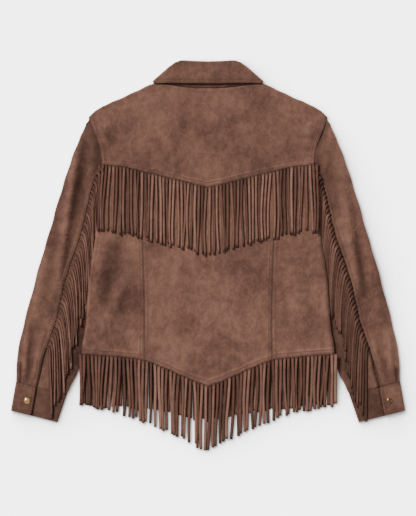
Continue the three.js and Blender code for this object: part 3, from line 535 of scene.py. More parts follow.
def centre_panel():
    half_gap = GAP / 2
    top_half = LONG_SEAM[0][1] - half_gap
    hem_half = LONG_SEAM[-1][1] - half_gap

    def side(sign):
        def edge(v):
            y = lerp(under_yoke(top_half), hem_y(hem_half), v)
            return sign * (seam_x(y) - half_gap), y
        return edge

    def top(u):
        x = lerp(-top_half, top_half, u)
        return x, under_yoke(x)

    def bottom(u):
        x = lerp(-hem_half, hem_half, u)
        return x, hem_y(x)

    bands = (SEAM_BAND, SEAM_BAND, None, HEM_BAND)
    return Panel(patch(top, bottom, side(-1), side(1)), *CENTRE_SIZE, back_level, bands)


def side_panel(sign):
    top_x, hem_x = LONG_SEAM[0][1], LONG_SEAM[-1][1]
    corner_x = YOKE_EDGE[-1][0]
    out_x, out_y = HEM_EDGE[-1]

    def top(u):
        x = lerp(top_x + GAP / 2, corner_x, u)
        return sign * x, under_yoke(x)

    def bottom(u):
        x = lerp(hem_x + GAP / 2, out_x, u)
        return sign * x, hem_y(x)

    def inner(v):
        y = lerp(under_yoke(top_x), hem_y(hem_x), v)
        return sign * (seam_x(y) + GAP / 2), y

    def outer(v):
        y = lerp(under_yoke(corner_x), out_y, v)
        return sign * body_x(y), y

    bands = (SEAM_BAND, SIDE_BAND, None, HEM_BAND)
    return Panel(patch(top, bottom, inner, outer), *SIDE_SIZE, turned_back_level, bands)


def along_line(points, share):
    """The point at a share of the way along a line of points."""
    lengths = [math.dist(a, b) for a, b in zip(points, points[1:])]
    left = share * sum(lengths)
    for length, a, b in zip(lengths, points, points[1:]):
        if left <= length:
            return [lerp(p, q, left / length) for p, q in zip(a, b)]
        left -= length
    return list(points[-1])


def front_panel(sign):
    start = NECKLINE[-1][0] + FRONT_NECK_CLEAR
    shoulder = [(x - FRONT_SHOULDER_IN, y - FRONT_SHOULDER_DOWN) for x, y in TOP_EDGE if x > start]
    line = [(sign * x, y) for x, y in NECKLINE + shoulder]
    end_x, end_y = shoulder[-1]
    side_x = body_x(FRONT_HEM_SIDE) - FRONT_INSET_SIDE

    def top(u):
        return along_line(line, u)

    def bottom(u):
        y = lerp(FRONT_HEM_MIDDLE, FRONT_HEM_SIDE, u ** 2)
        return sign * lerp(-PLACKET, side_x, u), y

    def inner(v):
        return -sign * PLACKET, lerp(NECKLINE[0][1], FRONT_HEM_MIDDLE, v)

    def outer(v):
        y = lerp(end_y, FRONT_HEM_SIDE, v)
        inset = lerp(FRONT_INSET_SIDE, FRONT_INSET_ARMHOLE, smooth(y, *FRONT_INSET_Y))
        return sign * lerp(end_x, body_x(y) - inset, smooth(v, 0, FRONT_CORNER)), y

    level = right_front_level if sign > 0 else front_level
    bands = (None, None, None, None)
    return Panel(patch(top, bottom, inner, outer), *FRONT_SIZE, level, bands)


SECTION_COLUMNS = [[(i, row[k]) for i, row in enumerate(SLEEVE_SECTIONS)] for k in range(4)]
SLEEVE_ROWS = 180
SLEEVE_CELLS = {"outer": (34, 8), "inner": (10, 7)}
FOLD_ROUND = (75, 50, 25, 0, -25, -50, -75)
# Up to which share of the armhole the back seam's band fades, and the seam stays off the armhole
BAND_FADE_SHARE, HEAD_SHARE = 0.4, 0.85


def section_at(place):
    """A sleeve's section at a place from 0, its top, to 1, its cuff."""
    index = place * (len(SLEEVE_SECTIONS) - 1)
    return [read(column, index) for column in SECTION_COLUMNS]


def sleeve_plan(section, start, end, share):
    ends = []
    for name in (start, end):
        y = section[SECTION_NAMES.index(name)]
        ends.append((read(SLEEVE_LINES[name], y), y))
    y = lerp(ends[0][1], ends[1][1], share)
    straight = lerp(ends[0][0], ends[1][0], share)
    from_outer = share
    if start == "inner":
        from_outer = 1 - share if end == "outer" else 1
    near = lerp(min(1, 2 * from_outer), 1, smooth(section[3], HEAD_SHARE, 1))
    return lerp(straight, body_x(y) + ARMHOLE_GAP, section[3] * near), y


def sleeve_top(sign, section, edge, inward):
    """The upper side of a sleeve at a distance in from its back seam."""
    rim = sleeve_plan(section, edge, "seam", 0)
    seam = sleeve_plan(section, edge, "seam", 1)
    length = math.dist(rim, seam)
    x, y = sleeve_plan(section, edge, "seam", 1 - inward / length)
    band = SLEEVE_BAND if edge == "outer" else None
    raised = seam_profile(inward, band) * (1 - smooth(section[3], BAND_FADE_SHARE, 1))
    # Painted shade from the seam's grooves and edge and from the sleeve's creases
    dark = max(seam_shade(inward, band), shade(SLEEVE_DARK, sign * x, y))
    return sign * x, y, upper_sleeve_level(sign * x, y) + CLOTH + raised, dark


def sleeve_row(sign, edge, section, top_cells, low_cells):
    """Points round a sleeve piece: its top, its fold and its underside."""
    far = "inner" if edge == "outer" else "outer"
    low_share = FRONT_SEAM if edge == "outer" else 1 - FRONT_SEAM
    rim = sleeve_plan(section, edge, "seam", 0)
    length = math.dist(rim, sleeve_plan(section, edge, "seam", 1))
    low_length = math.dist(rim, sleeve_plan(section, edge, far, 1))
    inwards = [GAP / 2]
    start = GAP / 2
    if edge == "outer":
        inwards += [step for step in BAND_STEPS if GAP / 2 < step]
        start = BAND_STEPS[-1]
    end = length - FOLD_RADIUS
    inwards += [lerp(start, end, (k + 1) / top_cells) for k in range(top_cells)]
    row = [sleeve_top(sign, section, edge, inward) for inward in inwards]
    x0, y0, highest, dark = row[-1]
    lowest = lower_sleeve_level(x0, y0)
    middle, half = (highest + lowest) / 2, (highest - lowest) / 2
    for turn in FOLD_ROUND:
        angle = math.radians(turn)
        out = FOLD_RADIUS * (1 - math.cos(angle)) / length
        x, y = sleeve_plan(section, edge, "seam", out)
        row.append((sign * x, y, middle + half * math.sin(angle), dark))
    for k in range(low_cells + 1):
        share = lerp(FOLD_RADIUS / low_length, low_share - GAP / 2 / low_length, k / low_cells)
        x, y = sleeve_plan(section, edge, far, share)
        row.append((sign * x, y, lower_sleeve_level(sign * x, y), 0))
    return row


def sleeve_mesh(sign, edge):
    sections = [section_at(i / SLEEVE_ROWS) for i in range(SLEEVE_ROWS + 1)]
    rows = [sleeve_row(sign, edge, section, *SLEEVE_CELLS[edge]) for section in sections]
    rows.insert(0, [under_yoke_edge(sign, *point) for point in rows[0]])
    rows.append([inside_cuff(above, end) for above, end in zip(rows[-2], rows[-1])])
    return grid_mesh(len(rows), len(rows[0]), lambda i, j: rows[i][j])


# How far a sleeve's head turns in under the body's edge, and its end into the cuff
HEAD_IN, HEAD_UP, HEAD_DROP, HEAD_LEAST, HEAD_RIM = 1.7, 0.5, 2.5, 1.6, 238
HEAD_EDGE, HEAD_FADE = 0.4, 6
CUFF_IN, CUFF_LEAST, CUFF_MOST = 5, 1.85, 2.2


def under_yoke_edge(sign, x, y, z, dark):
    share = smooth(HEAD_RIM - abs(x), 0, HEAD_FADE)
    lower = min(z, max(z - HEAD_DROP * share, HEAD_LEAST))
    return x - sign * HEAD_IN * share, y + HEAD_UP * max(share, HEAD_EDGE), lower, dark


def inside_cuff(above, end):
    step = Vector(end[:2]) - Vector(above[:2])
    x, y = Vector(end[:2]) + step.normalized() * CUFF_IN
    # The end tucked into the cuff is painted fully dark, as shade
    return x, y, min(max(end[2], CUFF_LEAST), CUFF_MOST), 1


def section_read(rows, place):
    """Reads every column of a list of number rows at a place between its rows."""
    return [read([(i, row[k]) for i, row in enumerate(rows)], place) for k in range(len(rows[0]))]


# A cuff: its top and bottom lines (outer x, y, inner x, y), its flap and its underlap
CUFF_TOP = (384, -252.2, 281.6, -275.6)
CUFF_BOTTOM = (394, -309, 301, -332.5)
CUFF_FLAP, CUFF_UNDERLAP = 42, 26
CUFF_FLAP_TOP, CUFF_UNDERLAP_TOP = 6.1, 4
CUFF_ROWS = 22
CUFF_LINES = (2.2, 5.4)
CUFF_LINE_STEP, CUFF_EDGE_STEP, CUFF_BAND = 1.2, 1, 8
# Painted shade on the cuff: along its edges, in its grooves, beside the flap and over the whole
# underlap
CUFF_EDGE_SHADE, CUFF_EDGE_REACH = 0.6, 1.6
FLAP_SHADE, FLAP_SHADE_REACH, UNDERLAP_SHADE = 0.85, (1, 9), 0.42
FLAP_CORNER, FLAP_CORNER_CUT = 3.5, 0.45
CUFF_FLAT_CELLS = 14
CUFF_BACK_CELLS = 20
CUFF_TURNS = (90, 65, 40, 15, -15, -40, -65, -90)
SNAP_X, SNAP_Y = 361.5, -289.5


def cuff_row(sign, share):
    """Points round a cuff, from its flap's edge to the end of its underlap."""
    rim = [lerp(a, b, share) for a, b in zip(CUFF_TOP[:2], CUFF_BOTTOM[:2])]
    end = [lerp(a, b, share) for a, b in zip(CUFF_TOP[2:], CUFF_BOTTOM[2:])]
    width = math.dist(rim, end)
    height = math.dist(CUFF_TOP[:2], CUFF_BOTTOM[:2])
    row = []

    def add(inward, z):
        t = inward / width
        x, y = lerp(rim[0], end[0], t), lerp(rim[1], end[1], t)
        away = min(share * height, (1 - share) * height)
        on_flap = z > CUFF_UNDERLAP_TOP + CUFF_CLOTH
        edges = [away, CUFF_FLAP - inward] if on_flap else [away]
        # Painted shade along the cuff's top and bottom edges
        dark = CUFF_EDGE_SHADE * (1 - smooth(away, 0, CUFF_EDGE_REACH))
        dent = 0
        for line in CUFF_LINES:
            for edge in edges:
                dent = max(dent, math.exp(-((edge - line) / GROOVE_WIDTH) ** 2))
        # Painted shade beside the flap's edge and over the underlap
        if not on_flap:
            beside_flap = 1 - smooth(inward - CUFF_FLAP, *FLAP_SHADE_REACH)
            dark = max(dark, FLAP_SHADE * beside_flap, UNDERLAP_SHADE)
        groove = GROOVE_DEPTH * dent if z > CUFF_CLOTH else -GROOVE_DEPTH * dent
        row.append((sign * x, y, z - groove, max(dark, GROOVE_SHADE * dent)))

    flap_bend, under_bend = CUFF_FLAP_TOP / 2, CUFF_UNDERLAP_TOP / 2
    for k in range(CUFF_FLAT_CELLS):
        inward = lerp(CUFF_FLAP, flap_bend, k / CUFF_FLAT_CELLS)
        near_end = FLAP_CORNER - min(share * height, (1 - share) * height)
        corner = max(0, near_end) if k == 0 else 0
        add(inward - FLAP_CORNER_CUT * corner, CUFF_FLAP_TOP)
    for turn in CUFF_TURNS:
        angle = math.radians(turn)
        add(flap_bend - flap_bend * math.cos(angle), flap_bend + flap_bend * math.sin(angle))
    for k in range(1, CUFF_BACK_CELLS):
        add(lerp(flap_bend, width - under_bend, k / CUFF_BACK_CELLS), 0)
    for turn in reversed(CUFF_TURNS):
        angle = math.radians(turn)
        add(width - under_bend + under_bend * math.cos(angle),
            under_bend + under_bend * math.sin(angle))
    for k in range(1, CUFF_BACK_CELLS + 1):
        inward = lerp(width - under_bend, CUFF_UNDERLAP, k / CUFF_BACK_CELLS)
        add(inward, CUFF_UNDERLAP_TOP)
    return row


def cuff_mesh(sign):
    height = math.dist(CUFF_TOP[:2], CUFF_BOTTOM[:2])
    places = {0, height, CUFF_EDGE_STEP, height - CUFF_EDGE_STEP}
    for line in CUFF_LINES:
        for step in (-CUFF_LINE_STEP, 0, CUFF_LINE_STEP):
            places.update((line + step, height - line - step))
    inside = (CUFF_BAND, height - CUFF_BAND)
    places.update(lerp(*inside, k / CUFF_ROWS) for k in range(CUFF_ROWS + 1))
    places = sorted({round(place, 2) for place in places})
    rows = [cuff_row(sign, min(place / height, 1)) for place in places]
    return grid_mesh(len(rows), len(rows[0]), lambda i, j: rows[i][j])


# The collar: half of the fall from the middle of the back, then its slanting fold, then its leaf.
# Each row holds the roll's x and y and the lower edge's x and y.
COLLAR_BACK = [(0, 388.6, 0, 345.6), (30, 389.6, 38, 345.8), (52, 390.7, 76, 345.6)]
COLLAR_FOLD = (61.5, 388, 112, 343.6)
COLLAR_LEAF = [(60, 350, 113, 308), (40, 320, 99, 272), (14, 301, 72, 240)]
COLLAR_MIDDLE, COLLAR_LOW = 6.45, CLOTH / 2
COLLAR_FLARE = 1.6
COLLAR_ROLL = 2.6
COLLAR_LINES = (1.8, 6.2)
COLLAR_BAND = (0, 0, COLLAR_LINES)
COLLAR_STEPS = (0, 0.8, 1.6, 2.6, 4, 8, 12, 17, 22, 27, 32, 35, 36.2, 37.2, 38.2, 39.2, 40.2,
                41.2, 42.2, 43)
COLLAR_DEPTH, COLLAR_WIDTH = 43, 112
COLLAR_BACK_CELLS, COLLAR_LEAF_CELLS, COLLAR_TURN_STEP = 30, 10, 15
COLLAR_SPREAD, COLLAR_WAVE = 14, 0.5
COLLAR_FLARE_FROM, COLLAR_FLARE_X, COLLAR_WAVE_TO = 0.2, (70, 100), 0.3
# Painted shade along the collar's roll, where the fall turns down
ROLL_SHADE, ROLL_SHADE_REACH, LEAF_FROM_TOP = 0.5, 2, 2
COLLAR_OUT = math.sqrt(0.5)
COLLAR_SAG = 1.8
TOP_CORNER, LOW_CORNER = (3, 0.8), (9, 2.6)
STAND_LEVEL, STAND_TOP_X, STAND_TOP_Y, STAND_NECK_X = 3.9, 56, 385, 82
STAND_TUCK, STAND_DROP, STAND_DROP_Y = 1.5, 1.8, (-0.5, 2.5)


def collar_rows():
    """Half of the collar's fall: each row's line, height, how far out it bends, and its turn."""
    half = []
    back, leaf = COLLAR_BACK + [COLLAR_FOLD], [COLLAR_FOLD] + COLLAR_LEAF
    for i in range(COLLAR_BACK_CELLS):
        line = section_read(back, (len(back) - 1) * i / COLLAR_BACK_CELLS)
        half.append((line, COLLAR_MIDDLE, 0, 90))
    centre, bend = (COLLAR_MIDDLE + COLLAR_LOW) / 2, (COLLAR_MIDDLE - COLLAR_LOW) / 2
    for turn in range(90, -91, -COLLAR_TURN_STEP):
        angle = math.radians(turn)
        out = bend * math.cos(angle)
        half.append((COLLAR_FOLD, centre + bend * math.sin(angle), out, turn))
    for i in range(1, COLLAR_LEAF_CELLS + 1):
        line = section_read(leaf, (len(leaf) - 1) * i / COLLAR_LEAF_CELLS)
        half.append((line, COLLAR_LOW, 0, -90))
    return half


def collar_sag(edge_x, share):
    return COLLAR_SAG * share * (1 - min(abs(edge_x) / COLLAR_WIDTH, 1) ** 2)


def collar_flare(x, share):
    """How far the fall's lower edge stands off the back."""
    down = smooth(share, COLLAR_FLARE_FROM, 1)
    return COLLAR_FLARE * down * (1 - smooth(abs(x), *COLLAR_FLARE_X))


def corner_cut(from_corner, corner):
    """How much a rounded corner takes off a line at a distance from it."""
    reach, cut = corner
    return cut * max(0, 1 - from_corner / reach) ** 2


def collar_mesh():
    def points(row, sign):
        (roll_x, roll_y, edge_x, edge_y), height, out, turn = row
        angle = math.radians(turn)
        line = []
        on_back = max(0, turn) / 90
        from_top = (COLLAR_FOLD[0] - roll_x) * on_back + (1 - on_back) * LEAF_FROM_TOP
        from_low = (COLLAR_FOLD[2] - edge_x) * on_back
        head = corner_cut(from_top, TOP_CORNER)
        foot = COLLAR_DEPTH - corner_cut(from_low, LOW_CORNER)
        for step in COLLAR_STEPS:
            share = lerp(head, foot, step / COLLAR_DEPTH) / COLLAR_DEPTH
            away = (out + CLOTH / 2 * math.cos(angle)) * COLLAR_OUT
            sag = collar_sag(edge_x, share) * on_back
            x = lerp(roll_x, edge_x, share) + away
            y = lerp(roll_y, edge_y, share) + away * smooth(step, 0, COLLAR_SPREAD) - sag
            drop = 0
            if turn == 90:
                inside = max(0, COLLAR_ROLL - step)
                drop = COLLAR_ROLL - math.sqrt(COLLAR_ROLL ** 2 - inside ** 2)
                drop -= collar_flare(x, share)
                for sewn in COLLAR_LINES:
                    near = (COLLAR_DEPTH - step - sewn) / GROOVE_WIDTH
                    drop += GROOVE_DEPTH * math.exp(-near * near)
                soft = COLLAR_WAVE * waves(sign * x, y, COLLAR_SEED)
                drop -= soft * smooth(share, 0, COLLAR_WAVE_TO)
            z = height + CLOTH / 2 * math.sin(angle) - drop
            # Painted shade in the fall's stitch grooves and along its roll
            dark = seam_shade(COLLAR_DEPTH - step, COLLAR_BAND) if turn == 90 else 0
            on_roll = ROLL_SHADE * (1 - smooth(step, 0, ROLL_SHADE_REACH))
            line.append((sign * x, y, z, max(dark, on_roll)))
        return line

    half = collar_rows()
    rows = [points(row, -1) for row in reversed(half[1:])]
    rows += [points(row, 1) for row in half]
    return grid_mesh(len(rows), len(rows[0]), lambda i, j: rows[i][j])


def stand_panel():
    def neck_y(x):
        return top_y(x) - STAND_TUCK

    def level(x, y):
        return STAND_LEVEL - STAND_DROP * (1 - smooth(y - top_y(x), *STAND_DROP_Y))

    def side(sign):
        def edge(v):
            x = sign * lerp(STAND_TOP_X, STAND_NECK_X, v)
            return x, lerp(STAND_TOP_Y, neck_y(STAND_NECK_X), v)
        return edge

    def top(u):
        return lerp(-STAND_TOP_X, STAND_TOP_X, u), STAND_TOP_Y

    def bottom(u):
        x = lerp(-STAND_NECK_X, STAND_NECK_X, u)
        return x, neck_y(x)

    bands = (None, None, None, STAND_BAND)
    return Panel(patch(top, bottom, side(-1), side(1)), *STAND_SIZE, level, bands)


# The fringes: how many strands, their reach and width, how far they stray, and their tips' lines
YOKE_STRANDS, YOKE_REACH, YOKE_WIDTH, YOKE_WANDER = 62, 217, 5.7, 4.2
YOKE_TIPS = [(-217, 51), (-168, 43), (-126, 34), (-99, 26), (-39, 12), (-1, 2), (32, 11), (86, 26),
             (144, 38), (192, 47), (217, 49)]
HEM_STRANDS, HEM_REACH, HEM_WIDTH, HEM_WANDER = 66, 255, 6.6, 4.5
HEM_TIPS = [(-256, -298), (-186, -312), (-116, -337), (-52, -364), (0, -388.5), (40, -369),
            (96, -345), (156, -317), (204, -308), (256, -298)]
FRONT_STRANDS, FRONT_INNER, FRONT_OUTER, FRONT_WIDTH, FRONT_WANDER = 34, 4, 249, 7.9, 1.1
FRONT_TIPS = [(0, -330), (40, -324), (82, -313), (128, -307), (247, -298)]
SLEEVE_STRANDS, SLEEVE_FIRST, SLEEVE_LAST, SLEEVE_WIDTH = 40, 176, -180, 5.4
# For the strands along a sleeve: the root's y, then the length and the swing
SLEEVE_DROP = [(176, 150, 3), (122, 134, 3), (90, 130, 6), (30, 134, 9), (-60, 132, 11),
               (-130, 140, 10), (-180, 152, 0)]
SWING_SPEED = 3.6
RUNG_OUT, RUNG_FALL, RUNG_SHORTEN = 5, 4, 0.6
SLEEVE_LEAN, SLEEVE_SWAY, SLEEVE_SWAY_TURNS = 3, 0.8, 4
# The sleeve strands' random tones are scaled down, painted shade for the dark gaps they lie in
SLEEVE_TILT, SLEEVE_ROOT_WIDTH, SLEEVE_SHADED_TONE = 0.9, 7.4, 0.75
ARMHOLE_CLEAR, ONTO_CUFF_Y = 2.5, (245, 275)

# A strand's cells, crown, least height over the floor, taper, curl and ripple
STRAND_ACROSS = (-1, -0.4, 0.4, 1)
STRAND_CELLS, STRAND_AHEAD = 16, 0.03
STRAND_CROWN, STRAND_LEAST = 0.35, 0.1
STRAND_TAPER, STRAND_TAPER_FROM = 0.12, 0.6
STRAND_LOOSE, STRAND_ROOT_DARK = (0.02, 0.2), (-0.02, 0.035)
CURL_TURNS = 1.6
ROOT_LENGTH, ROOT_WIDTH = 5, 1.03
DRIFT_KEPT, TIP_SCATTER, BOW, RIPPLE, RIPPLE_TURNS = 0.6, 3.5, 0.5, 0.22, 5
LAST_PHASE = 6
YOKE_LEVEL_REACH = 205
HEM_FALL, FRONT_FALL_Y = 100, (200, 290)


class Strand:
    """A strand of fringe: its root, its tip, its width and how it lies."""

    def __init__(self, root, tip, width, root_width, bend, curl, tilt, tone):
        self.root = root
        self.tip = tip
        self.width = width
        self.root_width = root_width
        self.bend = bend
        self.curl = curl
        self.tilt = tilt
        self.tone = tone


def add_strand(bm, path, strand, level, tone_and_shade):
    """Adds one strand along a path, as a narrow sheet with a low crown."""
    columns = len(STRAND_ACROSS) - 1
    grid = bmesh.ops.create_grid(bm, x_segments=columns, y_segments=STRAND_CELLS, size=0.5)
    length = math.dist(strand.root, strand.tip)
    for vertex in grid["verts"]:
        share = vertex.co.y + 0.5
        side = STRAND_ACROSS[round((vertex.co.x + 0.5) * columns)]
        x, y = path(share)
        ahead_x, ahead_y = path(share + STRAND_AHEAD)
        along = Vector((ahead_x - x, ahead_y - y)).normalized()
        down = share * length
        wide = lerp(strand.root_width, strand.width, smooth(down, 0, ROOT_LENGTH))
        wide *= 1 - STRAND_TAPER * smooth(share, STRAND_TAPER_FROM, 1)
        off_x = -along.y * side * wide / 2
        off_y = along.x * side * wide / 2
        loose = smooth(share, *STRAND_LOOSE)
        height = level(x + off_x, y + off_y) + FRINGE_CLOTH
        height += STRAND_CROWN * (1 - side * side) * loose
        height += strand.tilt * side * loose
        turn = share * math.pi * CURL_TURNS + strand.bend
        height += strand.curl * abs(math.sin(turn)) * loose
        height = max(height, FRINGE_CLOTH + STRAND_LEAST)
        # Painted shade at the root, and each point's place across the strand for the painted edge
        # shade
        dark = smooth(share, *STRAND_ROOT_DARK)
        vertex[tone_and_shade] = (strand.tone, dark, abs(side), 1)
        vertex.co = Vector((x + off_x, y + off_y, height)) * MM


def fringe_mesh(strands):
    """Joins strands, each with its path and level, into one sheet of fringe."""
    bm = bmesh.new()
    tone_and_shade = bm.verts.layers.float_color.new("tone")
    for strand, path, level in strands:
        add_strand(bm, path, strand, level, tone_and_shade)
    face_out(bm)
    return bm


def hanging_fringe(count, start, end, width, edge_y, tip_y, level, wander):
    """Strands side by side under an edge, each bent a little its own way."""
    strands = []
    pitch = (end - start) / (count - 1)
    drift = 0
    for i in range(count):
        x = start + pitch * i
        drift = drift * DRIFT_KEPT + random.uniform(-wander, wander)
        tip_x = min(max(x + drift, min(start, end) - 1), max(start, end) + 1)
        root = (x, edge_y(x) - GAP)
        tip = (tip_x, tip_y(x) + random.uniform(-TIP_SCATTER, TIP_SCATTER))
        bow = random.uniform(-wander, wander) * BOW
        phase = random.uniform(0, LAST_PHASE)
        strand = Strand(
            root, tip, width * random.uniform(0.84, 1.04), abs(pitch) * ROOT_WIDTH, phase,
            random.uniform(0, 0.7), random.choice((-1, 1)) * random.uniform(0.1, 0.5),
            random.random(),
        )

        def path(share, root=root, tip=tip, bow=bow, phase=phase):
            ease = smooth(share, 0, 1)
            wave = RIPPLE * wander * math.sin(RIPPLE_TURNS * share + phase) * ease
            side = bow * math.sin(math.pi * share) + wave
            return lerp(root[0], tip[0], ease) + side, lerp(root[1], tip[1], share)

        strands.append((strand, path, level))
    return strands


def yoke_fringe():
    def level(x, y):
        inside = min(max(x, -YOKE_LEVEL_REACH), YOKE_LEVEL_REACH)
        return back_level(inside, y) + CLOTH + SEAM_BAND[1] + GAP
    return fringe_mesh(hanging_fringe(
        YOKE_STRANDS, -YOKE_REACH, YOKE_REACH, YOKE_WIDTH, yoke_y,
        lambda x: read(YOKE_TIPS, x), level, YOKE_WANDER))


def back_hem_fringe():
    def level(x, y):
        edge = hem_y(x)
        start = back_level(x, edge) + HEM_BAND[1]
        return lerp(start, BACK_TIP, smooth(edge - y, 0, HEM_FALL))
    return fringe_mesh(hanging_fringe(
        HEM_STRANDS, -HEM_REACH, HEM_REACH, HEM_WIDTH, hem_y,
        lambda x: read(HEM_TIPS, x), level, HEM_WANDER))


def front_hem_fringe(sign):
    def level(x, y):
        return FRONT_TIP + front_level(x, FRONT_HEM_SIDE) * (1 - smooth(-y, *FRONT_FALL_Y))

    def edge_y(x):
        share = (abs(x) + PLACKET) / (body_x(FRONT_HEM_SIDE) + PLACKET)
        return lerp(FRONT_HEM_MIDDLE, FRONT_HEM_SIDE, share ** 2)

    return fringe_mesh(hanging_fringe(
        FRONT_STRANDS, sign * FRONT_INNER, sign * FRONT_OUTER, FRONT_WIDTH, edge_y,
        lambda x: read(FRONT_TIPS, abs(x)), level, FRONT_WANDER))


def sleeve_fringe(sign):
    """Strands that leave a sleeve's back seam towards the body and turn down."""
    def seam(y):
        return read(SLEEVE_LINES["seam"], y), y

    strands = []
    for i in range(SLEEVE_STRANDS):
        y = lerp(SLEEVE_FIRST, SLEEVE_LAST, i / (SLEEVE_STRANDS - 1))
        (x0, y0), (x1, y1) = seam(y + 1), seam(y - 1)
        length = math.hypot(x1 - x0, y1 - y0)
        inward = ((y1 - y0) / length, -(x1 - x0) / length)
        columns = [[(row[0], row[k]) for row in SLEEVE_DROP] for k in (1, 2)]
        reach, swing = [read(column, y) for column in columns]
        reach *= random.uniform(0.92, 1.06)
        swing *= random.uniform(0.85, 1.15)
        sx, sy = seam(y)
        root = (sx + inward[0] * GAP, sy + inward[1] * GAP)
        tip = (root[0] - swing, root[1] - reach)
        lean = random.uniform(-SLEEVE_LEAN, SLEEVE_LEAN)
        phase = random.uniform(0, LAST_PHASE)

        def path(share, root=root, tip=tip, swing=swing, reach=reach, lean=lean, phase=phase):
            down = share * reach
            rung = 1 - math.exp(-down / RUNG_FALL)
            out = RUNG_OUT * rung + swing * (1 - math.exp(-SWING_SPEED * share))
            fall = down - RUNG_SHORTEN * RUNG_FALL * rung
            sway = SLEEVE_SWAY * math.sin(SLEEVE_SWAY_TURNS * share + phase) * share
            sway += lean * smooth(share, 0.1, 1)
            return sign * (root[0] - out + sway), root[1] - fall

        def level(px, py):
            on_sleeve = upper_sleeve_level(px, py) + CLOTH
            clear = STRIP_GAP + ARMHOLE_CLEAR * armhole_rise(px, py)
            return lerp(on_sleeve, CUFF_UNDERLAP_TOP, smooth(-py, *ONTO_CUFF_Y)) + clear

        tilt = -sign * SLEEVE_TILT
        strand = Strand((sign * root[0], root[1]), (sign * tip[0], tip[1]),
                        SLEEVE_WIDTH * random.uniform(0.85, 1.1), SLEEVE_ROOT_WIDTH, phase,
                        random.uniform(0, 0.5), tilt, SLEEVE_SHADED_TONE * random.random())
        strands.append((strand, path, level))
    return fringe_mesh(strands)


# A stitch's length, spacing, width and height
STITCH_LENGTH, STITCH_PITCH, STITCH_WIDTH, STITCH_HEIGHT = 2.3, 3.2, 0.75, 0.5
STITCH_SINK = 0.2
FIRST_SEWN_ROW = 8
BESIDE_FLAP_STEPS = 16


def stitches(bm, points):
    """Lays stitches along a line of points on the cloth."""
    points = [point[:3] for point in points]
    spans = [math.dist(a, b) for a, b in zip(points, points[1:])]
    total = sum(spans)
    count = int(total / STITCH_PITCH)
    i, done = 0, 0
    for k in range(count):
        place = (k + 0.5) * total / count
        while i < len(spans) - 1 and done + spans[i] < place:
            done += spans[i]
            i += 1
        start, end = Vector(points[i]), Vector(points[i + 1])
        middle = start.lerp(end, min((place - done) / spans[i], 1)) * MM
        along = (end - start).normalized()
        side = Vector((0, 0, 1)).cross(along).normalized()
        up = along.cross(side)
        grid = bmesh.ops.create_icosphere(bm, subdivisions=1, radius=0.5)
        for vertex in grid["verts"]:
            co = vertex.co
            vertex.co = middle + MM * (along * co.x * STITCH_LENGTH + side * co.y * STITCH_WIDTH
                                       + up * co.z * STITCH_HEIGHT)


def stitching(name, lines, material):
    bm = bmesh.new()
    for points in lines:
        stitches(bm, points)
    piece = finish_mesh(bm, name, material)
    return piece


def sleeve_lines(sign):
    """The two stitch lines beside a sleeve's back seam."""
    lines = []
    for inward in SLEEVE_BAND[2]:
        points = []
        for i in range(FIRST_SEWN_ROW, SLEEVE_ROWS + 1):
            points.append(sleeve_top(sign, section_at(i / SLEEVE_ROWS), "outer", inward))
        lines.append(points)
    return lines


def cuff_lines(sign):
    """A cuff's stitch lines: along its top and bottom, and beside its flap's edge."""
    height = math.dist(CUFF_TOP[:2], CUFF_BOTTOM[:2])
    lines = []
    for line in CUFF_LINES:
        for share in (line / height, 1 - line / height):
            lines.append(cuff_row(sign, share)[1:CUFF_FLAT_CELLS])
        beside = []
        for k in range(BESIDE_FLAP_STEPS + 1):
            row = cuff_row(sign, lerp(line / height, 1 - line / height, k / BESIDE_FLAP_STEPS))
            beside.append(along_line(row[:CUFF_FLAT_CELLS], line / CUFF_FLAP))
        lines.append(beside)
    return lines


def collar_lines():
    lines = []
    for sewn in COLLAR_LINES:
        points = []
        for line, height, out, turn in collar_rows():
            if turn < 90:
                break
            share = 1 - sewn / COLLAR_DEPTH
            x, y = lerp(line[0], line[2], share), lerp(line[1], line[3], share)
            top = height + CLOTH / 2 + collar_flare(x, share) - STITCH_SINK
            points.append((x, y - collar_sag(line[2], share), top))
        left = [(-x, y, z) for x, y, z in reversed(points[1:])]
        lines.append(left + points)
    return lines


# A snap's cap: the radius and height of each ring of its profile
SNAP_DOME = [(0, 1.9), (1.6, 1.85), (3, 1.62), (4, 1.2), (4.4, 0.85), (4.75, 0.8), (5.2, 1.05),
             (5.7, 0.95), (6, 0.5), (6, 0)]
SNAP_FLAT = [(0, 0.95), (3.5, 0.95), (4.4, 0.8), (4.75, 0.8), (5.2, 1), (5.7, 0.9), (6, 0.5), (6, 0)]
SNAP_SEGMENTS = 40
WELD = 0.01


def snap(node, profile, centre, material):
    """A snap's cap, turned from its profile, in the place of its CAD node."""
    bm = bmesh.new()
    x, y, z = centre
    ring = [bm.verts.new(Vector((x + radius, y, z + rise)) * MM) for radius, rise in profile]
    edges = [bm.edges.new(pair) for pair in zip(ring, ring[1:])]
    bmesh.ops.spin(bm, geom=ring + edges, cent=Vector(centre) * MM, axis=(0, 0, 1),
                   angle=math.tau, steps=SNAP_SEGMENTS, use_merge=True)
    bmesh.ops.remove_doubles(bm, verts=bm.verts, dist=WELD * MM)
    bmesh.ops.holes_fill(bm, edges=[edge for edge in bm.edges if edge.is_boundary])
    face_out(bm)
    piece = finish_mesh(bm, node + "_cap", material)
    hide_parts(node)
    return piece


def colour(red, green, blue):
    """A display colour from 0 to 255 as the shader's linear one."""
    def channel(value):
        share = value / 255
        return share / 12.92 if share <= 0.04045 else ((share + 0.055) / 1.055) ** 2.4
    return channel(red), channel(green), channel(blue), 1


